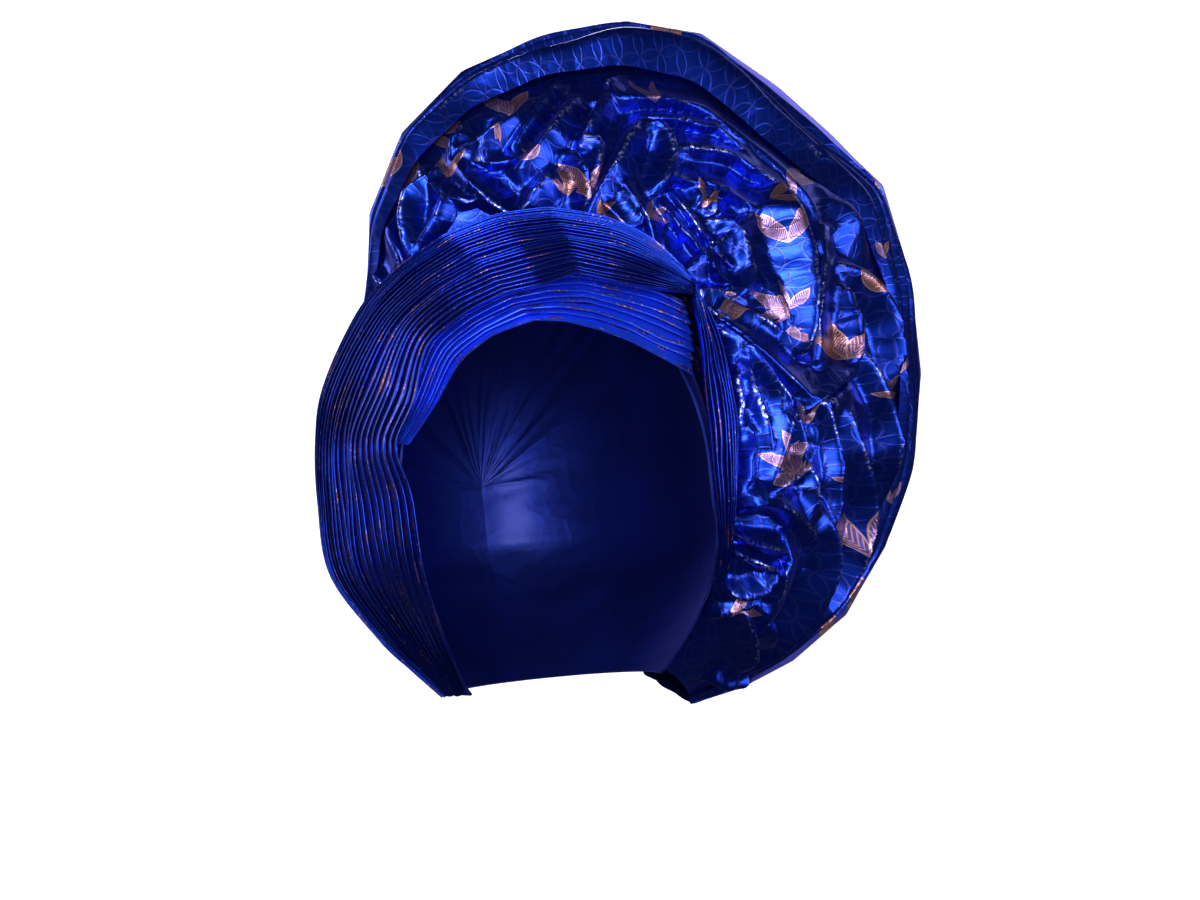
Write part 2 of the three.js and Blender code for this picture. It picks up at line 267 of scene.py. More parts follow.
@dataclass(frozen=True)
class View:
    """The photograph's view of the head tie. Its pixels are those of the 1200 by 900 picture."""

    target: tuple[float, float, float] = (0, 0, -0.100)
    distance: float = 1.8
    azimuth: float = -13.0
    roll: float = 6.0
    metres_per_pixel: float = 0.00042
    image: tuple[int, int] = (1200, 900)
    target_pixel: tuple[int, int] = (531, 482)

    def axes(self) -> np.ndarray:
        """Return the view's right, top and forward directions, one to a row."""
        turn, tilt = math.radians(self.azimuth), math.radians(self.roll)
        right = np.array([math.cos(turn), math.sin(turn), 0])
        up = np.array([0, 0, 1])
        ahead = np.array([-math.sin(turn), math.cos(turn), 0])
        side = math.cos(tilt) * right - math.sin(tilt) * up
        top = math.sin(tilt) * right + math.cos(tilt) * up
        return np.array([side, top, ahead])

    def pixels(self, points: np.ndarray) -> np.ndarray:
        """Find the pixel that shows each point."""
        off = (points - np.array(self.target)) @ self.axes().T
        scale = self.distance / (self.distance + off[..., 2]) / self.metres_per_pixel
        x, y = self.target_pixel
        return np.stack([x + off[..., 0] * scale, y - off[..., 1] * scale], axis=-1)


class Held(Enum):
    """How a section of the cloth is held."""

    GATHERED = "gathered"
    FOLDED = "folded"
    STRETCHED = "stretched"


@dataclass(frozen=True)
class Table:
    """Rows of numbers with named columns."""

    columns: str
    rows: tuple[tuple[float, ...], ...]

    def column(self, name: str) -> np.ndarray:
        """Return one column."""
        return np.array([row[self.columns.split().index(name)] for row in self.rows], float)

    def at(self, name: str, place: np.ndarray) -> np.ndarray:
        """Return a column's value at places between the rows."""
        values = self.column(name)
        return np.interp(place, np.arange(len(values)), values)


# A band's sections run from its front edge to its back edge. Over and swing are in degrees, drop is a
# share of the hem's drop, lift of the stand-off, and crease is 1 where the band bends sharply.
BAND_COLUMNS = (
    "front_over front_drop front_swing front_lift back_over back_drop back_swing back_lift crease"
)

HALO = Table(
    BAND_COLUMNS,
    (
        (-90, 0.98, -20, 0.28, -90, 1, 8, 0.3, 0),
        (-90, 0.84, -28, 0.2, -90, 0.84, 14, 0.29, 0),
        (-90, 0.68, -34, 0.2, -90, 0.68, 18, 0.33, 0),
        (-90, 0.35, -40, 0.26, -90, 0.35, 22, 0.42, 0),
        (-90, 0, -40, 0.3, -90, 0, 22, 0.46, 0),
        (-77, 0, -36, 0.34, -76, 0, 18, 0.47, 0),
        (-64, 0, -40, 0.4, -64, 0, 12, 0.49, 0),
        (-48, 0, -38, 0.44, -46, 0, 2, 0.5, 0.1),
        (-33, 0, -42, 0.5, -34, 0, -4, 0.51, 0.5),
        (-19, 0, -45, 0.55, -20, 0, -9, 0.53, 1),
        (-6, 0, -47, 0.6, -6, 0, -11, 0.55, 0.4),
        (8, 0, -45, 0.66, 8, 0, -13, 0.64, 1),
        (23, 0, -46, 0.76, 22, 0, -16, 0.76, 0.3),
        (36, 0, -43, 0.88, 34, 0, -21, 0.88, 0.2),
        (46, 0, -36, 0.96, 44, 0, -28, 0.98, 0),
    ),
)
BROW = Table(
    BAND_COLUMNS,
    (
        (-76, 0, -37, 0.15, -76, 0, -33, 0.17, 0),
        (-63, 0, -43, 0.1, -64, 0, -35, 0.2, 0),
        (-46, 0, -45, 0.09, -46, 0, -34, 0.22, 0.2),
        (-30, 0, -47.5, 0.09, -34, 0, -37, 0.26, 0.6),
        (-11, 0, -50, 0.09, -20, 0, -40, 0.32, 1),
        (3, 0, -52, 0.09, -6, 0, -42, 0.38, 0.3),
        (19, 0, -53, 0.1, 8, 0, -41, 0.42, 0.8),
        (33, 0, -52, 0.12, 22, 0, -41, 0.52, 0.3),
        (47, 0, -49, 0.16, 35, 0, -38, 0.62, 0.2),
        (62.5, 0, -40, 0.22, 45.5, 0, -34, 0.72, 0),
    ),
)
TEMPLE = Table(
    BAND_COLUMNS,
    (
        (47, 0, -36, 0.94, 45.2, 0, -28.5, 0.96, 0),
        (56, 0, -40, 0.68, 58, 0, -33, 0.86, 0),
        (64, 0, -43, 0.5, 68, 0, -36, 0.78, 0.2),
        (79, 0, -46, 0.34, 80, 0, -37, 0.68, 0.2),
        (90, 0.05, -46, 0.28, 90, 0.02, -38, 0.56, 0),
        (90, 0.24, -45, 0.24, 90, 0.22, -38, 0.44, 0),
        (90, 0.44, -41, 0.22, 90, 0.42, -36, 0.34, 0),
        (90, 0.62, -35, 0.2, 90, 0.62, -30, 0.28, 0),
    ),
)
# The fan's stations, each a straight line from its root on the crown to its rim. The angle is in
# degrees from the wearer's left, seen from the middle between the ears. Reach, lean and bulge are
# shares of the fan's reach, depth and bulges.
FAN = Table(
    "over drop swing back_swing angle reach lean bulge",
    (
        (-54, 0, 13, 20, 130, 0.43, 0.3, 0.1),
        (-46, 0, 7, 28, 122, 0.47, 0.5, 0.2),
        (-34, 0, 1, 38, 112, 0.6, 0.7, 0.4),
        (-20, 0, -4, 46, 101, 0.725, 0.85, 0.65),
        (-6, 0, -6, 52, 90, 0.825, 0.95, 0.7),
        (8, 0, -8, 54, 79, 0.9, 1, 0.7),
        (22, 0, -11, 54, 69, 0.965, 1, 0.7),
        (34, 0, -16, 54, 60, 1, 1, 0.75),
        (44, 0, -21, 53, 49, 0.985, 0.97, 0.85),
        (52, 0, -24, 52, 40, 0.98, 0.93, 1),
        (60, 0, -28, 51, 32, 0.99, 0.88, 1),
        (70, 0, -30, 50, 21, 0.935, 0.84, 1),
        (80, 0, -32, 50, 9, 0.88, 0.8, 1),
        (90, 0, -33, 48, -3, 0.83, 0.75, 1),
        (90, 0.22, -33, 44, -15, 0.775, 0.7, 1),
        (90, 0.42, -31, 38, -27, 0.725, 0.62, 0.9),
        (90, 0.62, -25, 30, -38, 0.66, 0.52, 0.7),
        (90, 0.82, -14, 22, -48, 0.6, 0.42, 0.45),
        (90, 1, -6, 12, -58, 0.545, 0.3, 0.2),
    ),
)
# The fan's folds: ridges through three places, each a pixel of the photograph, chosen one by one.
# Height and half width are shares of the fold height and width, and a fold leans to one side of its run
# by a share of its half width.
FOLDS = Table(
    "x_a y_a x_b y_b x_c y_c half_width height lean",
    (
        (696, 297, 750, 337, 810, 396, 0.55, 0.75, -0.3),
        (700, 304, 738, 348, 785, 402, 0.45, 0.6, 0.3),
        (702, 310, 733, 352, 764, 438, 0.35, 0.5, 0.3),
        (700, 296, 735, 312, 768, 328, 0.3, 0.45, 0.3),
        (728, 352, 734, 395, 738, 440, 0.4, 0.5, 0.2),
        (740, 425, 745, 460, 738, 495, 0.5, 0.5, 0.2),
        (776, 203, 792, 262, 798, 330, 0.9, 1.2, 0.2),
        (826, 235, 822, 262, 818, 330, 0.7, 0.8, -0.2),
        (833, 292, 843, 328, 843, 360, 0.5, 0.8, 0.4),
        (846, 361, 825, 382, 803, 402, 0.5, 0.7, 0.3),
        (840, 278, 870, 312, 882, 368, 0.75, 1.0, 0.3),
        (862, 372, 878, 460, 862, 562, 0.6, 0.9, 0.3),
        (850, 450, 848, 545, 796, 622, 0.6, 0.9, 0.3),
        (815, 400, 828, 480, 812, 560, 0.4, 0.6, 0.3),
        (818, 530, 806, 590, 756, 650, 0.8, 1.0, 0.3),
        (736, 503, 775, 497, 808, 526, 0.6, 0.9, -0.3),
        (738, 498, 768, 484, 797, 466, 0.4, 0.7, -0.3),
        (797, 466, 803, 495, 809, 526, 0.4, 0.7, 0.4),
        (728, 530, 755, 537, 786, 547, 0.35, 0.7, -0.3),
        (722, 548, 745, 553, 776, 566, 0.35, 0.7, -0.3),
        (720, 580, 745, 585, 772, 572, 0.45, 0.6, -0.3),
        (776, 577, 765, 600, 754, 612, 0.4, 0.6, 0.3),
        (752, 610, 757, 632, 758, 652, 0.5, 0.7, 0.3),
        (716, 672, 740, 668, 775, 655, 0.5, 0.8, -0.3),
        (735, 615, 738, 640, 732, 662, 0.6, 0.8, 0.3),
        (786, 545, 778, 590, 745, 640, 0.5, 0.8, -0.3),
        (845, 575, 815, 620, 768, 660, 0.5, 0.8, 0.3),
        (710, 612, 735, 607, 750, 604, 0.4, 0.4, -0.2),
        (806, 406, 828, 412, 845, 395, 0.5, 0.5, 0.2),
        (770, 380, 775, 400, 778, 412, 0.3, 0.4, 0.3),
        (790, 405, 782, 425, 770, 470, 0.5, 0.6, 0.2),
        (808, 425, 806, 450, 795, 470, 0.3, 0.5, 0.3),
        (772, 285, 776, 310, 790, 330, 0.4, 0.4, 0.3),
        (772, 138, 812, 185, 852, 240, 1.1, 0.9, 0.3),
        (620, 98, 722, 118, 800, 190, 0.6, 1.0, -0.3),
        (655, 118, 710, 130, 762, 172, 0.4, 0.7, -0.3),
        (682, 145, 735, 158, 790, 200, 0.6, 0.8, -0.3),
        (700, 180, 725, 190, 745, 207, 0.4, 0.6, -0.3),
        (641, 128, 630, 150, 600, 200, 0.45, 0.8, -0.3),
        (646, 128, 664, 150, 655, 182, 0.4, 0.8, 0.3),
        (662, 165, 680, 178, 696, 180, 0.4, 0.6, -0.3),
        (692, 180, 694, 195, 690, 205, 0.3, 0.5, 0.3),
        (668, 212, 698, 248, 727, 282, 0.3, 0.6, -0.3),
        (683, 205, 708, 240, 724, 262, 0.25, 0.5, -0.3),
        (726, 284, 712, 291, 694, 291, 0.25, 0.5, 0.3),
        (712, 226, 733, 238, 744, 262, 0.35, 0.6, 0.3),
        (744, 262, 742, 282, 725, 291, 0.3, 0.6, 0.4),
        (750, 282, 730, 293, 696, 297, 0.3, 0.5, 0.4),
        (735, 245, 740, 232, 748, 222, 0.3, 0.5, 0.3),
        (652, 236, 668, 262, 692, 288, 0.35, 0.6, -0.3),
        (705, 190, 708, 205, 710, 215, 0.3, 0.5, 0.3),
        (558, 87, 540, 118, 517, 150, 0.35, 0.7, -0.3),
        (575, 108, 558, 138, 528, 168, 0.55, 0.9, -0.3),
        (532, 112, 503, 140, 468, 156, 0.55, 0.8, -0.3),
        (620, 84, 603, 112, 587, 142, 0.4, 0.8, -0.3),
        (588, 138, 592, 160, 586, 188, 0.4, 0.7, 0.3),
        (462, 165, 482, 190, 514, 212, 0.5, 0.7, -0.3),
        (402, 165, 425, 172, 447, 195, 0.4, 0.6, -0.3),
        (432, 180, 413, 212, 418, 256, 0.45, 0.8, -0.3),
        (448, 195, 440, 220, 420, 252, 0.4, 0.6, -0.3),
        (384, 160, 383, 205, 400, 262, 0.4, 0.9, 0.3),
        (398, 140, 410, 168, 412, 190, 0.4, 0.6, 0.3),
        (368, 240, 376, 268, 384, 292, 0.4, 0.6, 0.3),
        (466, 155, 500, 161, 524, 150, 0.35, 0.5, -0.3),
        (556, 180, 540, 200, 524, 220, 0.6, 0.8, -0.3),
        (476, 122, 462, 145, 455, 160, 0.4, 0.6, -0.3),
        (420, 125, 440, 112, 470, 100, 0.5, 0.6, 0.3),
        (490, 95, 500, 110, 505, 124, 0.5, 0.5, 0.3),
        (622, 198, 632, 212, 634, 226, 0.4, 0.5, 0.3),
        (570, 160, 578, 180, 582, 204, 0.4, 0.7, 0.3),
        (440, 190, 465, 198, 480, 190, 0.4, 0.5, -0.3),
    ),
)
# The rim's folds by the angle along the rim: their width in millimetres, the share of it that the
# flat outer band takes, the share of the rest that the innermost roll takes, and how much lilac is
# laid on the outer band, a painted sheen.
RIM = Table(
    "angle width outer inner lilac",
    (
        (130, 12, 0.25, 0.4, 0.3),
        (112, 15, 0.25, 0.4, 0.2),
        (101, 20, 0.25, 0.45, 0.4),
        (90, 24, 0.15, 0.55, 0.0),
        (79, 27, 0.12, 0.55, 0.0),
        (69, 32, 0.12, 0.55, 0.2),
        (60, 36, 0.16, 0.55, 0.8),
        (49, 40, 0.24, 0.55, 1.0),
        (40, 38, 0.3, 0.5, 1.0),
        (32, 32, 0.28, 0.42, 1.0),
        (21, 25, 0.26, 0.34, 0.7),
        (9, 22, 0.2, 0.28, 0.35),
        (-3, 21, 0.15, 0.28, 0.1),
        (-15, 20, 0.2, 0.28, 0.1),
        (-27, 17, 0.5, 0.28, 0.35),
        (-38, 15, 0.6, 0.3, 0.5),
        (-48, 12, 0.5, 0.3, 0.3),
        (-58, 8, 0.3, 0.3, 0.1),
    ),
)
# The rim's outer band and one of its rolls, from outside to inside, as shares of their own width and
# rise. A roll hangs over what lies outside it.
RIM_OUTER = ((0.0, -0.4), (0.01, -0.2), (0.25, 0.06), (0.6, 0.12), (0.95, 0.0))
RIM_ROLL = (
    (0.06, -0.05),
    (-0.02, 0.2),
    (-0.07, 0.6),
    (-0.05, 0.92),
    (0.01, 1.04),
    (0.1, 1.02),
    (0.36, 0.78),
    (0.64, 0.5),
    (0.9, 0.2),
)
# Where the woven leaf sprays lie on the fan, in the photograph's pixels, with their turn in degrees
# and their size. A spray of kind 0 has two leaves, of kind 1 three and of kind 2 five.
SPRAYS = Table(
    "x y turn size kind",
    (
        (503, 122, 76, 1.35, 0),
        (422, 131, 8, 1.25, 1),
        (446, 178, 70, 0.8, 0),
        (400, 204, 95, 1.5, 0),
        (581, 201, 90, 1.2, 0),
        (502, 140, 200, 0.5, 1),
        (526, 170, 60, 0.7, 0),
        (567, 196, 110, 0.6, 0),
        (598, 214, 15, 0.8, 0),
        (650, 103, 100, 0.8, 0),
        (738, 116, 20, 0.8, 0),
        (785, 176, 330, 0.8, 1),
        (698, 208, 65, 0.85, 0),
        (651, 217, 30, 0.6, 1),
        (777, 247, 92, 1.1, 0),
        (763, 202, 10, 0.7, 0),
        (780, 312, 150, 1.15, 2),
        (782, 332, 0, 0.7, 0),
        (838, 358, 108, 1.3, 1),
        (868, 306, 120, 1.1, 0),
        (877, 402, 70, 1.1, 2),
        (797, 424, 70, 0.8, 0),
        (788, 470, 110, 1.2, 2),
        (848, 548, 98, 1.7, 0),
        (840, 492, 120, 0.9, 0),
        (730, 605, 10, 0.8, 0),
        (720, 310, 20, 0.7, 0),
        (860, 336, 200, 0.6, 1),
    ),
)

RIM_SPRAYS = Table(
    SPRAYS.columns,
    (
        (676, 46, 106, 1.2, 0),
        (868, 290, 100, 0.9, 0),
        (879, 262, 95, 0.6, 0),
        (893, 374, 95, 0.8, 0),
        (882, 500, 80, 0.8, 0),
        (844, 604, 38, 1.6, 1),
        (816, 630, 38, 1.5, 1),
        (386, 190, 85, 1.2, 0),
        (867, 178, 320, 0.5, 0),
    ),
)


# The leaves of a spray, mirrored about its stem: turn off the stem in degrees, length as a share of
# the longest, and how the spray's kind compares with a limit where the leaf shows.
SPRAY_LEAVES = (
    (0, 1.0, "GREATER_THAN", 0.5),
    (27, 1.0, "LESS_THAN", 0.5),
    (46, 0.88, "GREATER_THAN", 0.5),
    (94, 0.66, "GREATER_THAN", 1.5),
)


class Weave(Enum):
    """What a section of the cloth shows of its woven pattern."""

    PLAIN = 0
    FLECKED = 1
    FIGURED = 2


@dataclass(frozen=True)
class Taffeta:
    """Stiff metallic taffeta: a blue foil weft that mirrors light, crossed by a lilac warp.

    The foil gives deep blue with soft wide lights, the warp a lilac sheen at low angles, and the
    brocaded weft leaves of copper and rose that shine less than the ground.
    """

    name: str
    weave: Weave
    blue: str = "123AC2"
    shade: str = "081E76"
    copper: str = "6A4048"
    rose: str = "58488E"
    gold: str = "C89C9C"
    painted_glint_silver: str = "9CA4E8"
    lilac: str = "6C6CF0"
    roughness: float = 0.31
    metallic: float = 0.97
    painted_band_sheen: bool = False
    circle_spacing: float = 0.0085
    circle_line: float = 0.00022
    leaf_length: float = 0.0148
    leaf_width: float = 0.0024
    leaf_edge: float = 0.0004
    vein_spacing: float = 0.0008
    crinkle: float = 0.013
    crinkle_height: float = 0.25
    wrinkle: float = 0.006
    relief: float = 0.0008
    relief_strength: float = 0.3
    drift_scale: float = 26.0
    line_tint: float = 0.14
    line_relief: float = 0.22
    leaf_metallic: float = 0.95
    leaf_roughness: float = 0.38
    leaf_soft: float = 0.0002
    vein_slant: float = 1.3
    vein_strength: float = 0.7
    band_dulling: float = 0.5
    crease_width: float = 0.12
    sheen_range: tuple[float, float] = (0.4, 1.0)
    sheen_most: float = 0.35
    tint_range: tuple[float, float] = (0.45, 0.55)
    glint_crest: tuple[float, float] = (0.6, 1.0)
    glint_patches: tuple[tuple[float, float, float], ...] = ((700.0, 0.48, 0.6), (45.0, 0.5, 0.6))
    fleck_stretch: tuple[float, float, float] = (1.0, 10.0, 1.0)
    fleck_scale: float = 55.0
    fleck_range: tuple[float, float] = (0.70, 0.72)
    thread_and_glint_scale: float = 800.0
    thread_and_glint_range: tuple[float, float] = (0.6, 0.72)
    thread_and_glint_near: tuple[float, float] = (0.55, 0.75)
    coat: float = 0.06
    coat_roughness: float = 0.22
    sheen: float = 0.03
    sheen_roughness: float = 0.35

    def _circles(
        self, tree: bpy.types.NodeTree, cloth: bpy.types.NodeSocket
    ) -> bpy.types.NodeSocket:
        """Draw the woven lattice of overlapping circles, as 1 on its lines and 0 off them."""
        cell = add_node(
            tree, VECTOR, {0: cloth, "Scale": 1 / self.circle_spacing}, operation="SCALE"
        )
        cell = add_node(tree, VECTOR, {0: cell.outputs[0]}, operation="FRACTION")
        nearest = None
        for corner in ((0, 0, 0), (1, 0, 0), (0, 1, 0), (1, 1, 0)):
            far = add_node(tree, VECTOR, {0: cell.outputs[0], 1: corner}, operation="DISTANCE")
            off = add_node(
                tree, MATH, {0: far.outputs["Value"], 1: math.sqrt(0.5)}, operation="SUBTRACT"
            )
            off = add_node(tree, MATH, {0: off.outputs[0]}, operation="ABSOLUTE")
            if nearest:
                off = add_node(tree, MATH, {0: nearest, 1: off.outputs[0]}, operation="MINIMUM")
            nearest = off.outputs[0]
        half = self.circle_line / self.circle_spacing
        line = add_node(
            tree,
            "ShaderNodeMapRange",
            {"Value": nearest, 1: 0.5 * half, 2: 2.0 * half, 3: 1.0, 4: 0.0},
        )
        return line.outputs[0]

    def _leaf(
        self,
        tree: bpy.types.NodeTree,
        along: bpy.types.NodeSocket,
        across: bpy.types.NodeSocket,
        length: float,
    ) -> tuple[bpy.types.NodeSocket, bpy.types.NodeSocket]:
        """Draw one leaf.

        Args:
            tree: The material's nodes.
            along: Metres from the stem towards the tip.
            across: Metres from the midrib, on either side of it.
            length: The leaf's length, as a share of the longest.

        Returns:
            The leaf, and the pale threads on it, each as 1 inside and 0 outside.
        """
        share = add_node(
            tree, MATH, {0: along, 1: 1 / (self.leaf_length * length)}, operation="MULTIPLY"
        )
        rest = add_node(tree, MATH, {0: 1.0, 1: share.outputs[0]}, operation="SUBTRACT")
        width = add_node(tree, MATH, {0: share.outputs[0], 1: rest.outputs[0]}, operation="MULTIPLY")
        inside = add_node(
            tree, MATH, {0: width.outputs[0], 1: 4 * self.leaf_width * length}, operation="MULTIPLY"
        )
        inside = add_node(tree, MATH, {0: inside.outputs[0], 1: across}, operation="SUBTRACT")
        leaf = add_node(
            tree, "ShaderNodeMapRange", {"Value": inside.outputs[0], 1: 0.0, 2: self.leaf_soft}
        )
        edge = add_node(
            tree,
            "ShaderNodeMapRange",
            {"Value": inside.outputs[0], 1: 0.5 * self.leaf_edge, 2: self.leaf_edge, 3: 1, 4: 0},
        )
        slant = add_node(
            tree, MATH, {0: across, 1: -self.vein_slant, 2: along}, operation="MULTIPLY_ADD"
        )
        turns = 2 * math.pi / self.vein_spacing
        hatch = add_node(tree, MATH, {0: slant.outputs[0], 1: turns}, operation="MULTIPLY")
        hatch = add_node(tree, MATH, {0: hatch.outputs[0]}, operation="SINE")
        hatch = add_node(tree, "ShaderNodeMapRange", {"Value": hatch.outputs[0], 1: 0.1, 2: 0.9})
        thread = add_node(
            tree, MATH, {0: hatch.outputs[0], 1: self.vein_strength}, operation="MULTIPLY"
        )
        thread = add_node(
            tree, MATH, {0: thread.outputs[0], 1: edge.outputs[0]}, operation="MAXIMUM"
        )
        thread = add_node(tree, MATH, {0: thread.outputs[0], 1: leaf.outputs[0]}, operation="MULTIPLY")
        return leaf.outputs[0], thread.outputs[0]

    def _leaves(
        self, tree: bpy.types.NodeTree, spray: bpy.types.NodeSocket
    ) -> tuple[bpy.types.NodeSocket, bpy.types.NodeSocket]:
        """Draw a spray of two, three or five leaves, by its kind.

        Args:
            tree: The material's nodes.
            spray: The place in the spray's own frame, in metres, and the spray's kind.

        Returns:
            The leaves, and the pale threads on them, each as 1 inside and 0 outside.
        """
        split = add_node(tree, "ShaderNodeSeparateXYZ", {0: spray})
        side = add_node(tree, MATH, {0: split.outputs[1]}, operation="ABSOLUTE")
        leaves = None
        threads = None
        for turn, length, compare, limit in SPRAY_LEAVES:
            c, s = math.cos(math.radians(turn)), math.sin(math.radians(turn))
            along = add_node(tree, MATH, {0: split.outputs[0], 1: c}, operation="MULTIPLY")
            along = add_node(
                tree, MATH, {0: side.outputs[0], 1: s, 2: along.outputs[0]}, operation="MULTIPLY_ADD"
            )
            across = add_node(tree, MATH, {0: split.outputs[0], 1: -s}, operation="MULTIPLY")
            across = add_node(
                tree, MATH, {0: side.outputs[0], 1: c, 2: across.outputs[0]}, operation="MULTIPLY_ADD"
            )
            across = add_node(tree, MATH, {0: across.outputs[0]}, operation="ABSOLUTE")
            leaf, thread = self._leaf(tree, along.outputs[0], across.outputs[0], length)
            shown = add_node(tree, MATH, {0: split.outputs[2], 1: limit}, operation=compare).outputs[0]
            leaf = add_node(tree, MATH, {0: leaf, 1: shown}, operation="MULTIPLY").outputs[0]
            thread = add_node(tree, MATH, {0: thread, 1: shown}, operation="MULTIPLY").outputs[0]
            if leaves:
                leaf = add_node(tree, MATH, {0: leaves, 1: leaf}, operation="MAXIMUM").outputs[0]
                thread = add_node(tree, MATH, {0: threads, 1: thread}, operation="MAXIMUM").outputs[0]
            leaves, threads = leaf, thread
        return leaves, threads

    def _glints(
        self, tree: bpy.types.NodeTree, cloth: bpy.types.NodeSocket
    ) -> bpy.types.NodeSocket:
        """Draw painted glints: bright silver dots along the crests of the folds that stand in for
        highlights on the foil thread, as 1 on them.
        """
        crest = add_node(tree, "ShaderNodeAttribute", attribute_name="crest").outputs["Fac"]
        low, high = self.glint_crest
        dots = add_node(tree, "ShaderNodeMapRange", {"Value": crest, 1: low, 2: high}).outputs[0]
        for scale, low, high in self.glint_patches:
            noise = add_node(
                tree,
                "ShaderNodeTexNoise",
                {"Vector": cloth, "Scale": scale, "Detail": 1.0},
                noise_dimensions="2D",
            )
            patch = add_node(tree, "ShaderNodeMapRange", {"Value": noise.outputs[0], 1: low, 2: high})
            dots = add_node(tree, MATH, {0: patch.outputs[0], 1: dots}, operation="MULTIPLY").outputs[0]
        return dots

    def _flecks(
        self, tree: bpy.types.NodeTree, cloth: bpy.types.NodeSocket
    ) -> tuple[bpy.types.NodeSocket, bpy.types.NodeSocket]:
        """Draw the slivers of leaf that the pleats let show, and scattered dots of pale thread near
        them that also stand in for sparkles of light, painted glints.
        """
        long = add_node(tree, "ShaderNodeMapping", {"Vector": cloth, "Scale": self.fleck_stretch})
        noises = []
        for place, scale in ((long.outputs[0], self.fleck_scale), (cloth, self.thread_and_glint_scale)):
            noise = add_node(
                tree,
                "ShaderNodeTexNoise",
                {"Vector": place, "Scale": scale, "Detail": 1.0},
                noise_dimensions="2D",
            )
            noises.append(noise.outputs[0])
        patch, fine = noises
        shown = []
        for noise, (low, high) in (
            (patch, self.fleck_range),
            (patch, self.thread_and_glint_near),
            (fine, self.thread_and_glint_range),
        ):
            values = {"Value": noise, 1: low, 2: high}
            shown.append(add_node(tree, "ShaderNodeMapRange", values).outputs[0])
        leaf, near, glint = shown
        glint = add_node(tree, MATH, {0: glint, 1: near}, operation="MULTIPLY")
        return leaf, glint.outputs[0]

    def material(self) -> bpy.types.Material:
        """Build the material.

        Returns:
            A material that reads the sheet's own map cloth and, where it has them, its attributes
            spray, lilac, which lays a painted sheen, and crest, which places painted glints.
        """
        material = bpy.data.materials.new(self.name)
        material.use_nodes = True
        tree = material.node_tree
        tree.nodes.clear()
        cloth = add_node(tree, "ShaderNodeUVMap", uv_map="cloth").outputs[0]
        drift = add_node(
            tree, "ShaderNodeTexNoise", {"Vector": cloth, "Scale": self.drift_scale, "Detail": 3.0}
        )
        base = {0: drift.outputs[0], 6: linear(self.shade), 7: linear(self.blue)}
        colour = add_node(tree, "ShaderNodeMix", base, data_type="RGBA").outputs[2]
        low = add_node(tree, "ShaderNodeLayerWeight", {"Blend": 0.3}).outputs["Facing"]
        start, end = self.sheen_range
        low = add_node(
            tree, "ShaderNodeMapRange", {"Value": low, 1: start, 2: end, 4: self.sheen_most}
        )
        layers = [(low.outputs[0], linear(self.lilac))]
        # Painted sheen: lilac laid on the rim's outer band by its lilac attribute, standing in for the
        # sheen it catches.
        if self.painted_band_sheen:
            band = add_node(tree, "ShaderNodeAttribute", attribute_name="lilac").outputs["Fac"]
            layers.append((band, linear(self.lilac)))
        crease = add_node(
            tree,
            "ShaderNodeTexVoronoi",
            {"Vector": cloth, "Scale": 1 / self.crinkle},
            feature="DISTANCE_TO_EDGE",
        )
        crease = add_node(
            tree, "ShaderNodeMapRange", {"Value": crease.outputs[0], 1: 0.0, 2: self.crease_width}
        )
        wrinkle = add_node(
            tree,
            "ShaderNodeTexNoise",
            {"Vector": cloth, "Scale": 1 / self.wrinkle, "Detail": 2.0, "Roughness": 0.5},
        )
        relief = add_node(
            tree,
            MATH,
            {0: crease.outputs[0], 1: self.crinkle_height, 2: wrinkle.outputs[0]},
            operation="MULTIPLY_ADD",
        ).outputs[0]
        metal = self.metallic
        rough = self.roughness
        if self.weave is not Weave.PLAIN:
            if self.weave is Weave.FIGURED:
                lines = self._circles(tree, cloth)
                spray = add_node(tree, "ShaderNodeAttribute", attribute_name="spray").outputs["Vector"]
                leaves, threads = self._leaves(tree, spray)
                bright = add_node(tree, MATH, {0: lines, 1: self.line_tint}, operation="MULTIPLY")
                layers.append((bright.outputs[0], linear(self.lilac)))
                relief = add_node(
                    tree, MATH, {0: lines, 1: self.line_relief, 2: relief}, operation="MULTIPLY_ADD"
                ).outputs[0]
            else:
                leaves, threads = self._flecks(tree, cloth)
            start, end = self.tint_range
            tint = add_node(
                tree, "ShaderNodeMapRange", {"Value": drift.outputs[0], 1: start, 2: end}
            )
            thread_colours = {0: tint.outputs[0], 6: linear(self.copper), 7: linear(self.rose)}
            thread_colour = add_node(tree, "ShaderNodeMix", thread_colours, data_type="RGBA")
            layers.append((leaves, thread_colour.outputs[2]))
            # Pale gold: the threads on the leaves, and on flecked cloth scattered dots that also stand
            # in for sparkles, painted glints.
            layers.append((threads, linear(self.gold)))
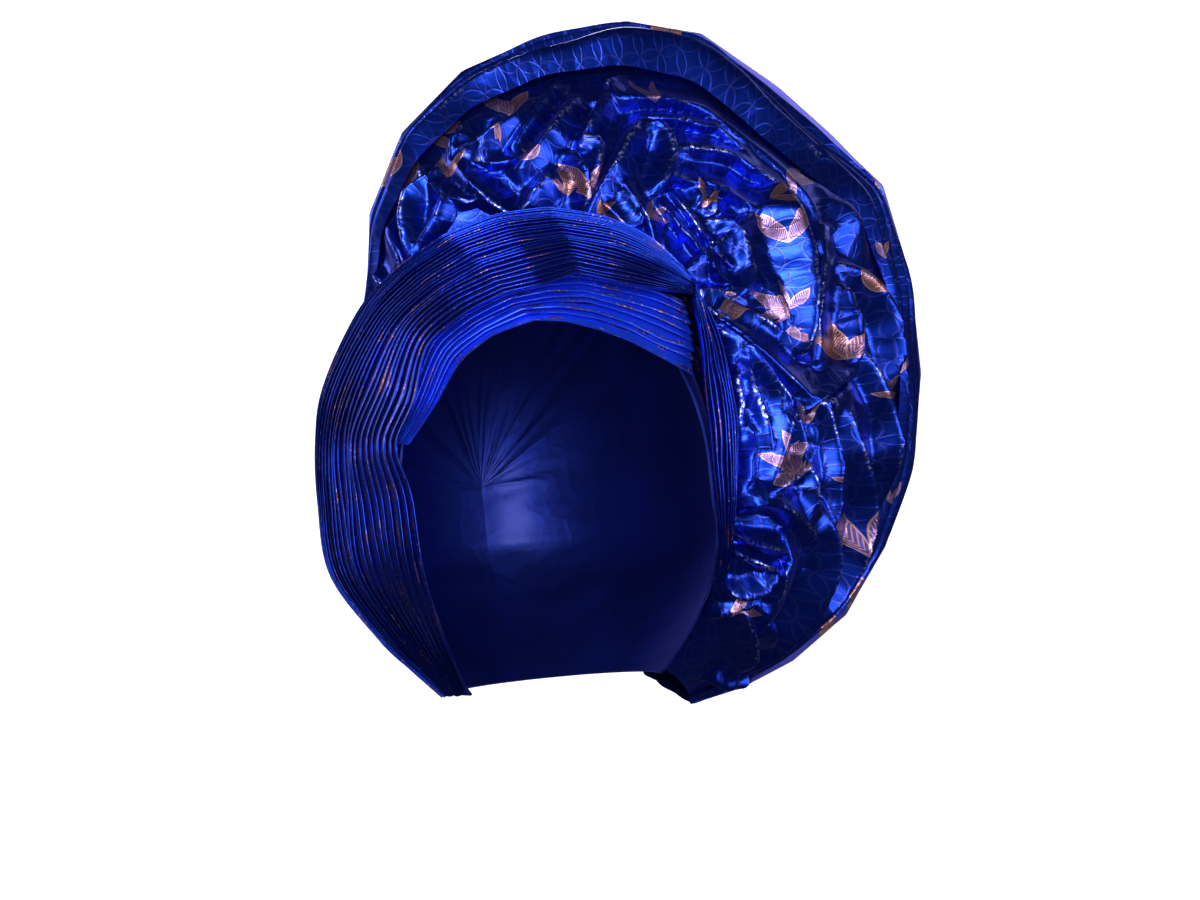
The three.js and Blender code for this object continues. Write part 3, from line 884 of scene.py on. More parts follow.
            # Painted glints: silver dots along the crests of the folds, standing in for highlights on
            # the foil thread.
            if self.weave is Weave.FIGURED:
                layers.append((self._glints(tree, cloth), linear(self.painted_glint_silver)))
            metals = {"Value": leaves, 3: self.metallic, 4: self.leaf_metallic}
            metal = add_node(tree, "ShaderNodeMapRange", metals).outputs[0]
            roughs = {"Value": leaves, 3: self.roughness, 4: self.leaf_roughness}
            rough = add_node(tree, "ShaderNodeMapRange", roughs).outputs[0]
        if self.painted_band_sheen:
            metal = add_node(
                tree, MATH, {0: band, 1: -self.band_dulling, 2: metal}, operation="MULTIPLY_ADD"
            ).outputs[0]
        for share, over in layers:
            colours = {0: share, 6: colour, 7: over}
            colour = add_node(tree, "ShaderNodeMix", colours, data_type="RGBA").outputs[2]
        bump = add_node(
            tree,
            "ShaderNodeBump",
            {"Height": relief, "Strength": self.relief_strength, "Distance": self.relief},
        )
        shader = add_node(
            tree,
            "ShaderNodeBsdfPrincipled",
            {
                "Base Color": colour,
                "Metallic": metal,
                "Roughness": rough,
                "Normal": bump.outputs[0],
                "Coat Weight": self.coat,
                "Coat Roughness": self.coat_roughness,
                "Sheen Weight": self.sheen,
                "Sheen Roughness": self.sheen_roughness,
                "Sheen Tint": linear(self.lilac),
            },
        )
        add_node(tree, "ShaderNodeOutputMaterial", {0: shader.outputs[0]})
        return material


@dataclass
class Sheet:
    """A section of the cloth, as a grid of points that becomes one thin closed sheet."""

    name: str
    grid: np.ndarray
    finish: Taffeta
    flat: tuple[float, float]
    held: Held
    rests_on: tuple[str, ...]
    thickness: float = 0.0005
    cloth: np.ndarray | None = None
    spray: np.ndarray | None = None
    # The rim's painted lilac sheen, and how far each point lies on a fold's crest, where painted glints
    # go.
    lilac: np.ndarray | None = None
    crest: np.ndarray | None = None
    sharp: float = 70.0

    def build(self) -> bpy.types.Object:
        """Make the mesh, its maps and its material, and hang it on the frame.

        Returns:
            The finished piece.
        """
        rows, columns = self.grid.shape[:2]
        number = np.arange(rows * columns).reshape(rows, columns)
        quads = np.stack(
            [number[:-1, :-1], number[1:, :-1], number[1:, 1:], number[:-1, 1:]], axis=-1
        ).reshape(-1, 4)
        mesh = bpy.data.meshes.new(self.name)
        mesh.from_pydata(self.grid.reshape(-1, 3).tolist(), [], quads.tolist())
        corners = np.empty(len(mesh.loops), int)
        mesh.loops.foreach_get("vertex_index", corners)
        cloth = self.grid_lengths() if self.cloth is None else self.cloth
        self._write_map(mesh, "cloth", cloth.reshape(-1, 2)[corners])
        if self.spray is not None:
            layer = mesh.attributes.new("spray", "FLOAT_VECTOR", "CORNER")
            layer.data.foreach_set("vector", self.spray.astype(np.float32).ravel())
        # The lilac attribute lays a painted sheen; the crest attribute places painted glints.
        for name, values in (("lilac", self.lilac), ("crest", self.crest)):
            if values is not None:
                layer = mesh.attributes.new(name, "FLOAT", "POINT")
                layer.data.foreach_set("value", values.astype(np.float32).ravel())
        mesh.materials.append(self.finish.material())
        piece = bpy.data.objects.new(self.name, mesh)
        bpy.context.collection.objects.link(piece)
        mesh.shade_smooth()
        bpy.ops.object.select_all(action="DESELECT")
        piece.select_set(True)
        bpy.context.view_layer.objects.active = piece
        wall = piece.modifiers.new("wall", "SOLIDIFY")
        wall.thickness = self.thickness
        wall.offset = -1
        bpy.ops.object.modifier_apply(modifier=wall.name)
        bpy.ops.object.shade_smooth_by_angle(angle=math.radians(self.sharp))
        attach(piece, "root")
        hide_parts(self.name.removesuffix("_cloth"))
        area = sum(face.area for face in piece.data.polygons) / 2
        LOG.info("%s: %d faces, %.4f m2 of cloth", self.name, len(piece.data.polygons), area)
        return piece

    def grid_lengths(self) -> np.ndarray:
        """Measure each point's place in the cloth: metres along the rows and across them."""
        along = np.linalg.norm(np.diff(self.grid, axis=0), axis=-1)
        across = np.linalg.norm(np.diff(self.grid, axis=1), axis=-1)
        u = np.concatenate([[0], np.cumsum(along.mean(axis=1))])
        v = np.concatenate([[0], np.cumsum(across.mean(axis=0))])
        return np.stack(np.meshgrid(u, v, indexing="ij"), axis=-1)

    @staticmethod
    def _write_map(mesh: bpy.types.Mesh, name: str, corners: np.ndarray) -> None:
        """Write one UV map, with a pair of numbers for each corner of each face."""
        layer = mesh.uv_layers.new(name=name)
        layer.data.foreach_set("uv", corners.astype(np.float32).ravel())


# One pleat from its folded edge to the next pleat's, as a share of its width and of its rise. The
# edge hangs over the pleat before it, so the valley between them is dark.
PLEAT = (
    (0.16, -0.10),
    (0.04, 0.16),
    (-0.12, 0.50),
    (-0.22, 0.84),
    (-0.20, 0.98),
    (-0.12, 1.04),
    (0.15, 0.86),
    (0.50, 0.56),
    (0.85, 0.24),
)


@dataclass
class PleatedBand:
    """A band of sharp parallel pleats, straight between the creases that run across it."""

    name: str
    sections: Table
    pleats: int
    rise: float
    finish: Taffeta
    flat: tuple[float, float]
    steps: int = 10
    uneven: float = 0.22
    first: float = 1.0
    slip: float = 0.07
    sway: float = 0.3
    sway_rise: float = 0.35
    tuck: float = 3.0
    reach: float = 1e-3
    seed: int = 1

    def section(self, row: np.ndarray, share: np.ndarray) -> np.ndarray:
        """Find points on a section, from the band's front edge to its back edge."""
        values = []
        for part in ("over", "drop", "swing", "lift"):
            front = self.sections.at("front_" + part, row)
            back = self.sections.at("back_" + part, row)
            values.append(lerp(front, back, share))
        values[3] = values[3] * STAND_OFF
        return HEAD.point(*values)

    def base(self, place: np.ndarray, share: np.ndarray) -> np.ndarray:
        """Find points of the smooth band, which bends sharply only where it is creased."""
        last = len(self.sections.rows) - 1
        low = np.clip(np.floor(place), 0, last - 1)
        t = (place - low)[..., None]
        start, end = self.section(low, share), self.section(low + 1, share)
        before = self.section(np.maximum(low - 1, 0), share)
        after = self.section(np.minimum(low + 2, last), share)
        chord = end - start
        leave = lerp((end - before) / 2, chord, self.sections.at("crease", low)[..., None])
        arrive = lerp((after - start) / 2, chord, self.sections.at("crease", low + 1)[..., None])
        leave = np.where((low == 0)[..., None], chord, leave)
        arrive = np.where((low == last - 1)[..., None], chord, arrive)
        curve = (2 * t**3 - 3 * t**2 + 1) * start + (t**3 - 2 * t**2 + t) * leave
        return curve + (3 * t**2 - 2 * t**3) * end + (t**3 - t**2) * arrive

    def make(self) -> Sheet:
        """Lay the pleats over the band and tuck their last edge down to the crown.

        Returns:
            The band as a sheet.
        """
        rows = (len(self.sections.rows) - 1) * self.steps + 1
        place = np.linspace(0, len(self.sections.rows) - 1, rows)[:, None]
        shares, heights = [], []
        rng = np.random.default_rng(self.seed)
        widths = 1 + self.uneven * rng.uniform(-1, 1, self.pleats)
        widths[0] *= self.first
        edges = np.concatenate([[0], np.cumsum(widths)]) / widths.sum()
        for k in range(self.pleats):
            for share, height in PLEAT:
                shares.append(edges[k] + share * (edges[k + 1] - edges[k]))
                heights.append(height)
        shares = np.array(shares)[None, :]
        heights = np.array(heights)[None, :]
        sway = smooth_noise((rows, self.pleats), (9, max(2, self.pleats // 2)), self.seed)
        sway = np.repeat(sway, len(PLEAT), axis=1)
        swayed = sway * self.sway / self.pleats * np.sin(np.pi * shares)
        share = np.clip(shares + swayed, -0.02, 1.0)
        slip = np.repeat(rng.normal(0, self.slip, self.pleats), len(PLEAT))[None, :]
        last = len(self.sections.rows) - 1
        place = np.clip(place + slip * np.sin(np.pi * place / last), 0, last)
        points = self.base(place, share)
        after, before = np.minimum(place + self.reach, last), np.maximum(place - self.reach, 0)
        along = self.base(after, share) - self.base(before, share)
        across = self.base(place, share + self.reach) - self.base(place, share - self.reach)
        normals = unit(np.cross(along, across))
        height = heights * self.rise * (1 + self.sway_rise * sway)
        grid = points + normals * height[..., None]
        foot = HEAD.point(
            self.sections.at("back_over", place[:, -1:]),
            self.sections.at("back_drop", place[:, -1:]),
            self.sections.at("back_swing", place[:, -1:]) + self.tuck,
            CROWN_WALL + FOOT_GAP,
        )
        grid = np.concatenate([grid, foot], axis=1)
        return Sheet(
            self.name,
            grid,
            self.finish,
            self.flat,
            Held.FOLDED,
            ("crown_wrap_cloth",),
        )


@dataclass
class Fan:
    """The tall fan: a crumpled face, a plain back and nested pleats along the rim."""

    reach: float = 0.217
    depth: float = 0.050
    face_bulge: float = 0.022
    back_bulge: float = 0.007
    fold_height: float = 0.0118
    fold_width: float = 0.0135
    crest: float = 0.0006
    crest_bend: float = 0.0005
    gathers: int = 9
    gather_seed: int = 6
    rim_rolls: int = 4
    rim_rise: float = 0.5
    rim_seed: int = 2
    outer_rise: float = 0.004
    turned_edge: float = 0.9
    rim_under: float = 0.0006
    rim_start: float = 0.992
    rim_widest: float = 0.36
    rim_slip: float = 0.2
    rim_bend: float = 0.18
    back_setback: float = 1.3
    back_fold: float = 0.0036
    lean_reach: float = 1.8
    gather_lean: float = 0.3
    line_ends: tuple[float, float] = (-0.2, 1.2)
    second_share: float = 0.45
    root_fade: float = 0.10
    rim_fade: float = 0.08
    end_fade: float = 0.5
    crumples: int = 26
    crumple_seed: int = 5
    crumple_length: tuple[float, float] = (0.12, 0.35)
    crumple_turn: float = 5.0
    crumple_share: tuple[float, float] = (0.06, 0.9)
    crumple_bend: float = 0.3
    crumple_height: tuple[float, float] = (0.002, 0.005)
    crumple_width: tuple[float, float] = (0.006, 0.011)
    crumple_lean: tuple[float, float] = (-0.4, 0.4)
    gather_starts: tuple[float, float] = (50.0, 40.0)
    gather_ends: tuple[float, float] = (82.0, -12.0)
    gather_stray: float = 2.0
    gather_length: tuple[float, float] = (0.2, 0.4)
    gather_height: tuple[float, float] = (0.3, 0.6)
    gather_width: tuple[float, float] = (0.3, 0.45)
    gather_curve: float = 1.2
    root_girth: float = 0.4
    girth_growth: float = 2.5
    bend_reach: float = 0.45
    face_end: float = 0.985
    back_end: float = 0.995
    rim_sway: float = 0.2
    rim_lumps: float = 0.5
    rim_first: float = 0.2
    rim_rows: int = 340
    back_rows: int = 220
    back_columns: int = 60
    look_rows: int = 361
    look_columns: int = 81
    layer: float = 0.0018
    gap: float = 0.0009
    face_rows: int = 340
    face_columns: int = 112
    crumpling: Crumpling = Crumpling()
    view: View = View()

    def chord(self, row: np.ndarray, share: np.ndarray, swing: str) -> np.ndarray:
        """Find points on the straight line from root to rim, at whole stations."""
        root = HEAD.point(
            FAN.at("over", row),
            FAN.at("drop", row),
            FAN.at(swing, row),
            CROWN_WALL + self.gap + self.layer / 2,
        )
        angle = np.radians(FAN.at("angle", row))
        reach = FAN.at("reach", row) * self.reach
        rim = np.stack(
            [
                reach * np.cos(angle),
                FAN.at("lean", row) * self.depth,
                reach * np.sin(angle) - HEAD.crown_height,
            ],
            axis=-1,
        )
        return lerp(root, rim, share[..., None])

    def between(self, place: np.ndarray, share: np.ndarray, swing: str) -> np.ndarray:
        """Find points between the stations, straight from one station to the next."""
        low = np.clip(np.floor(place), 0, len(FAN.rows) - 2)
        mix = (place - low)[..., None]
        return lerp(self.chord(low, share, swing), self.chord(low + 1, share, swing), mix)

    def face(self, place: np.ndarray, share: np.ndarray) -> np.ndarray:
        """Find points of the smooth face."""
        points = self.between(place, share, "swing")
        bulge = FAN.at("bulge", place) * self.face_bulge * np.sin(np.pi * share**0.8)
        points[..., 1] -= bulge
        return points

    def rounded(self, place: np.ndarray, share: np.ndarray, reach: np.ndarray) -> np.ndarray:
        """Find points of the face with the bends at its stations rounded over a reach of them."""
        last = len(FAN.rows) - 1
        steps = np.linspace(-1, 1, 5)
        return sum(self.face(np.clip(place + reach * k, 0, last), share) for k in steps) / len(steps)

    def face_normals(self, place: np.ndarray, share: np.ndarray, reach: np.ndarray) -> np.ndarray:
        """Find the rounded face's normals, which point forward."""
        step = 0.05
        high, low = np.minimum(share + step, 1), np.maximum(share - step, 0)
        along = self.rounded(place + step, share, reach) - self.rounded(place - step, share, reach)
        across = self.rounded(place, high, reach) - self.rounded(place, low, reach)
        return unit(np.cross(along, across))

    def back(self, place: np.ndarray, share: np.ndarray) -> np.ndarray:
        """Find points of the smooth back."""
        points = self.between(place, share, "back_swing")
        bulge = FAN.at("bulge", place) * self.back_bulge * np.sin(np.pi * share)
        points[..., 1] += self.back_setback * (self.layer + self.gap) * share + bulge
        return points

    def place_at(self, angle: np.ndarray) -> np.ndarray:
        """Find the place between stations where the rim stands at an angle."""
        angles = FAN.column("angle")
        return np.interp(-angle, -angles, np.arange(len(angles)))

    def seen(self, pixels: np.ndarray) -> np.ndarray:
        """Find the points of the smooth face that pixels of the photograph show.

        Args:
            pixels: Pairs of pixels, one pair to a row.

        Returns:
            The points, one to a row.
        """
        place = np.linspace(0, len(FAN.rows) - 1, self.look_rows)[:, None]
        share = np.linspace(0.01, 1, self.look_columns)[None, :]
        grid = self.face(*np.broadcast_arrays(place, share)).reshape(-1, 3)
        shown = self.view.pixels(grid)
        far = np.linalg.norm(shown[None] - pixels[:, None], axis=-1)
        return grid[far.argmin(axis=1)]

    def ridge_field(
        self,
        points: np.ndarray,
        girth: np.ndarray,
        lines: list[np.ndarray],
        heights: np.ndarray,
        widths: np.ndarray,
        leans: np.ndarray,
    ) -> np.ndarray:
        """Raise ridges along lines, the highest counting where they meet.

        Args:
            points: The grid of the smooth face.
            girth: How wide a ridge is at each point, as a share of its width.
            lines: Each ridge's points.
            heights: Each ridge's height, in metres.
            widths: Each ridge's half width, in metres.
            leans: How far each ridge leans over to a side, as a share of its half width.

        Returns:
            How far each point moves, with x, y and z along the last axis.
        """
        normals = forward(grid_normals(points))
        best_height = np.zeros(points.shape[:2])
        moves = np.zeros_like(points)
        for line, height, width, lean in zip(lines, heights, widths, leans):
            low, high = line.min(axis=0) - width, line.max(axis=0) + width
            near = np.all((points > low) & (points < high), axis=-1)
            if not near.any():
                continue
            spots = points[near]
            start, end = line[:-1], line[1:]
            run = end - start
            share = np.einsum("nsk,sk->ns", spots[:, None] - start[None], run)
            share = share / np.maximum(np.einsum("sk,sk->s", run, run), TINY_LENGTH)
            share = np.clip(share, 0, 1)
            foot = start[None] + share[..., None] * run[None]
            far = np.linalg.norm(spots[:, None] - foot, axis=-1)
            best = far.argmin(axis=1)
            distance = far[np.arange(len(far)), best]
            travel = (best + share[np.arange(len(far)), best]) / len(run)
            taper = (4 * travel * (1 - travel)) ** 0.5
            side = np.sqrt(distance**2 + self.crest**2) - self.crest
            part = np.maximum(0, 1 - side / (width * girth[near]))
            tent = height * taper * part
            across = unit(np.cross(normals[near], unit(run)[best]))
            sideways = self.lean_reach * lean * width * taper * part
            move = normals[near] * tent[:, None] + across * sideways[:, None]
            higher = tent > best_height[near]
            best_height[near] = np.where(higher, tent, best_height[near])
            moves[near] = np.where(higher[:, None], move, moves[near])
        return moves

    def fold_lines(self) -> tuple[list[np.ndarray], np.ndarray, np.ndarray, np.ndarray]:
        """Trace the named folds and the gathers over the smooth face.

        Returns:
            Each ridge's points, and the heights, half widths and leans of them all.
        """
        lines = []
        t = np.linspace(*self.line_ends, 13)[:, None]
        for row in FOLDS.rows:
            a, b, c = np.array(row[0:2]), np.array(row[2:4]), np.array(row[4:6])
            bend = 2 * b - (a + c) / 2
            lines.append(self.seen((1 - t) ** 2 * a + 2 * t * (1 - t) * bend + t**2 * c))
        heights = list(FOLDS.column("height") * self.fold_height)
        widths = list(FOLDS.column("half_width") * self.fold_width)
        rng = np.random.default_rng(self.gather_seed)
        for k in range(self.gathers):
            at = (k + 0.5) / self.gathers
            end = lerp(*self.gather_ends, at) + rng.uniform(-1, 1) * self.gather_stray
            start = lerp(*self.gather_starts, at)
            far = rng.uniform(*self.gather_length)
            angles = lerp(start, end, np.linspace(0, 1, 9) ** self.gather_curve)
            lines.append(self.face(self.place_at(angles), np.linspace(0.01, far, 9)))
            heights.append(rng.uniform(*self.gather_height) * self.fold_height)
            widths.append(rng.uniform(*self.gather_width) * self.fold_width)
        gather_leans = np.full(self.gathers, self.gather_lean)
        leans = np.concatenate([FOLDS.column("lean"), gather_leans])
        return lines, np.array(heights), np.array(widths), leans

    def crumple_lines(self) -> tuple[list[np.ndarray], np.ndarray]:
        """Scatter short creases over the face, most of them running out from the root.

        Returns:
            The creases' points, and a random number from 0 to 1 for each.
        """
        rng = np.random.default_rng(self.crumple_seed)
        lines = []
        for _ in range(self.crumples):
            place = rng.uniform(0.5, len(FAN.rows) - 1.5)
            share = rng.uniform(*self.crumple_share)
            far = rng.uniform(*self.crumple_length) / 2
            slant = rng.normal(0, self.crumple_turn)
            bend = rng.normal(0, self.crumple_bend)
            t = np.linspace(-1, 1, 6)
            places = np.clip(place + far * slant * t + far * bend * t * t, 0, len(FAN.rows) - 1)
            shares = np.clip(share + far * t, 0.01, 0.98)
            lines.append(self.face(places, shares))
        return lines, rng.uniform(0, 1, self.crumples)

    def make_face(self, finish: Taffeta) -> Sheet:
        """Fold and crumple the fan's face."""
        place = np.linspace(0, len(FAN.rows) - 1, self.face_rows)[:, None]
        share = np.linspace(0, self.face_end, self.face_columns)[None, :]
        place, share = np.broadcast_arrays(place, share)
        smooth = self.rounded(place, share, self.bend_reach * (1 - share**4))
        bare = 1.0 - self.rim_share(place) - share
        fade = np.minimum(share / self.root_fade, bare / self.rim_fade)
        ends = np.minimum(place, len(FAN.rows) - 1 - place) / self.end_fade
        fade = np.clip(np.minimum(fade, ends), 0, 1)
        girth = np.clip(self.root_girth + self.girth_growth * share, 0, 1)
        moves = self.ridge_field(smooth, girth, *self.fold_lines())
        lines, luck = self.crumple_lines()
        heights, widths = lerp(*self.crumple_height, luck), lerp(*self.crumple_width, luck)
        leans = lerp(*self.crumple_lean, luck)
        second = self.ridge_field(smooth, girth, lines, heights, widths, leans)
        grid = smooth + (moves + self.second_share * second) * fade[..., None]
        grid = self.crumpling.settle(grid, smooth, fade)
        spray = self.spray_map(smooth, self.spots(SPRAYS))
        return Sheet(
            "fan_face_cloth",
            grid,
            finish,
            (0.54, 0.14),
            Held.GATHERED,
            ("crown_wrap_cloth", "halo_pleats_cloth"),
            cloth=smooth[..., (0, 2)],
            spray=spray,
            crest=self.crests(grid),
        )

    def crests(self, grid: np.ndarray) -> np.ndarray:
        """Find how far each point of the folded face is on the crest of a fold, from 0 to 1."""
        bend = np.zeros_like(grid)
        bend[1:-1] += (grid[2:] + grid[:-2]) / 2 - grid[1:-1]
        bend[:, 1:-1] += (grid[:, 2:] + grid[:, :-2]) / 2 - grid[:, 1:-1]
        inward = -np.einsum("ijk,ijk->ij", bend, forward(grid_normals(grid)))
        return np.clip(inward / self.crest_bend, 0, 1)

    def spots(self, sprays: Table) -> np.ndarray:
        """Find where the leaf sprays lie: each one's point, turn in radians, size and kind."""
        spots = []
        for x, y, turn, size, kind in sprays.rows:
            point = self.seen(np.array([[x, y]]))[0]
            spots.append((*point, math.radians(turn - self.view.roll), size, kind))
        return np.array(spots)

    @staticmethod
    def spray_map(smooth: np.ndarray, spots: np.ndarray) -> np.ndarray:
        """Give each corner of each face its place in the frame of the nearest leaf spray.

        Args:
            smooth: A grid of points without its folds.
            spots: The sprays' points, turns, sizes and kinds.

        Returns:
            For each corner the place along and across the spray, and the spray's kind.
        """
        rows, columns = smooth.shape[:2]
        middle = (smooth[:-1, :-1] + smooth[1:, 1:]) / 2
        far = np.linalg.norm(middle[..., None, :] - spots[:, :3], axis=-1) / spots[:, 4]
        best = spots[far.argmin(axis=-1)]
        turn, size, kind = best[..., 3], best[..., 4], best[..., 5]
        local = []
        for i, j in ((0, 0), (1, 0), (1, 1), (0, 1)):
            point = smooth[i : rows - 1 + i, j : columns - 1 + j]
            off = (point - best[..., :3]) / size[..., None]
            along = np.cos(turn) * off[..., 0] + np.sin(turn) * off[..., 2]
            across = -np.sin(turn) * off[..., 0] + np.cos(turn) * off[..., 2]
            local.append(np.stack([along, across, kind], axis=-1))
        return np.stack(local, axis=2).reshape(-1, 3)

    def make_back(self, finish: Taffeta) -> Sheet:
        """Lay soft folds in the fan's back, from the root out to the rim."""
        place = np.linspace(0, len(FAN.rows) - 1, self.back_rows)[:, None]
        share = np.linspace(0, 1, self.back_columns)[None, :]
        place, share = np.broadcast_arrays(place, share)
        smooth = self.back(place, share)
        wave = smooth_noise(place.shape, (26, 2), 3) + 0.4 * smooth_noise(place.shape, (56, 5), 4)
        depth = self.back_fold * np.sin(np.pi * np.clip(share, 0, 1)) ** 0.8
        grid = smooth - grid_normals(smooth) * (np.abs(wave) * depth)[..., None]
        return Sheet(
            "fan_back_cloth",
            grid[::-1],
            finish,
            (0.45, 0.11),
            Held.STRETCHED,
            ("crown_wrap_cloth",),
        )

    def rim_share(self, place: np.ndarray) -> np.ndarray:
        """Find the share of the sheet that the rim's folds cover."""
        ends = np.zeros_like(place), np.ones_like(place)
        sheet = np.linalg.norm(self.face(place, ends[1]) - self.face(place, ends[0]), axis=-1)
        width = np.interp(-FAN.at("angle", place), -RIM.column("angle"), RIM.column("width"))
        return np.minimum(self.rim_widest, width / 1000 / sheet)

    def make_rim(self, finish: Taffeta) -> Sheet:
        """Nest the folds along the rim: a flat outer band, then rolls that hang over each other.

        The outermost line turns back to the edge of the fan's back and closes the slit between them.
        """
        last = len(FAN.rows) - 1
        place = np.linspace(self.rim_first, last, self.rim_rows)[:, None]
        angle = -FAN.at("angle", place)
        edge = np.interp(angle, -RIM.column("angle"), RIM.column("outer"))
        rng = np.random.default_rng(self.rim_seed)
        shares, heights, outer, round_off, slips = [], [], [], [], []
        for share, height in RIM_OUTER:
            shares.append(share * edge)
            heights.append(height * self.outer_rise * np.ones_like(edge))
            outer.append(1.0)
            round_off.append(0.0)
            slips.append(0.0)
        inner = np.interp(angle, -RIM.column("angle"), RIM.column("inner"))
        outer_rolls = self.rim_rolls - 1
        for k in range(self.rim_rolls):
            start = (1 - inner) * k / outer_rolls
            end = (1 - inner) * (k + 1) / outer_rolls if k < outer_rolls else np.ones_like(inner)
            slip = rng.normal(0, self.rim_slip)
            wide = np.interp(angle, -RIM.column("angle"), RIM.column("width")) / 1000
            rise = wide * (1 - edge) * (end - start) * self.rim_rise
            for share, height in RIM_ROLL:
                at = lerp(start, end, share)
                shares.append(edge + (1 - edge) * at)
                heights.append(height * rise)
                outer.append(0.0)
                round_off.append(self.rim_bend)
                slips.append(slip)
        share = np.concatenate(shares, axis=1)
        height = np.concatenate(heights, axis=1)
        spread = np.sin(np.pi * np.clip(share, 0, 1))
        sway = smooth_noise(share.shape, (11, 3), 8) * self.rim_sway * spread
        lumps = 1 + self.rim_lumps * smooth_noise(share.shape, (23, 5), 21)
        slipped = np.clip(place + np.array(slips)[None, :] * np.sin(np.pi * place / last), 0, last)
        where = self.rim_start - self.rim_share(slipped) * np.clip(share + sway, 0, 1)
        reach = np.array(round_off)[None, :]
        smooth = self.rounded(slipped, where, reach)
        normals = self.face_normals(slipped, where, np.maximum(reach, 0.25))
        under = self.layer / 2 + self.rim_under
        grid = smooth + normals * (under + height * lumps)[..., None]
        back = self.back(place, np.full_like(place, self.back_end))[:, 0]
        grid[:, 0] = lerp(grid[:, 1], back, np.array(self.turned_edge))
        # Painted sheen: lilac only on the outer band, more or less of it by the angle along the rim.
        lilac = np.array(outer)[None, :] * np.ones_like(share)
        lilac *= np.interp(angle, -RIM.column("angle"), RIM.column("lilac"))
        return Sheet(
            "rim_pleats_cloth",
            grid[::-1],
            finish,
            (0.61, 0.058),
            Held.FOLDED,
            ("fan_face_cloth",),
            cloth=smooth[::-1, :, (0, 2)],
            spray=self.spray_map(smooth[::-1], self.spots(RIM_SPRAYS)),
            lilac=lilac[::-1],
            crest=self.crests(grid)[::-1],
        )


@dataclass
class CrownWrap:
    """The wrap that holds the head, closed at the back of the head."""

    wrinkle: float = 0.0017
    thickness: float = 0.0011
    rows: int = 181
    columns: int = 80
    sections: Table = Table(
        "over drop front_swing",
        (
            (-90, 1, -16),
            (-90, 0.82, -22),
            (-90, 0.62, -27),
            (-90, 0.42, -30),
            (-90, 0.22, -31),
            (-90, 0, -32),
            (-76, 0, -33),
            (-64, 0, -35),
            (-46, 0, -38),
            (-34, 0, -41),
            (-20, 0, -44),
            (-6, 0, -45),
            (8, 0, -45),
            (22, 0, -44),
            (34, 0, -42),
            (44, 0, -40),
            (52, 0, -39),
            (70, 0, -39),
            (90, 0, -39),
            (90, 0.22, -39),
            (90, 0.42, -36),
            (90, 0.62, -30),
            (90, 0.82, -23),
            (90, 1, -16),
        ),
    )

    def make(self, finish: Taffeta) -> Sheet:
        """Stretch the cloth over the head form, with soft wrinkles towards the back."""
        last = len(self.sections.rows) - 1
        place = np.linspace(0, last, self.rows)[:, None]
        share = np.linspace(0, 1, self.columns)[None, :]
        place, share = np.broadcast_arrays(place, share)
        swing = lerp(self.sections.at("front_swing", place), 90, share)
        wave = smooth_noise(place.shape, (34, 3), 12) + 0.5 * smooth_noise(place.shape, (60, 6), 13)
        lift = CROWN_WALL - self.wrinkle * np.abs(wave) * np.sin(np.pi * share) ** 0.6
        grid = HEAD.point(
            self.sections.at("over", place), self.sections.at("drop", place), swing, lift
        )
        return Sheet(
            "crown_wrap_cloth",
            grid,
            finish,
            (0.405, 0.196),
            Held.STRETCHED,
            (),
            thickness=self.thickness,
        )


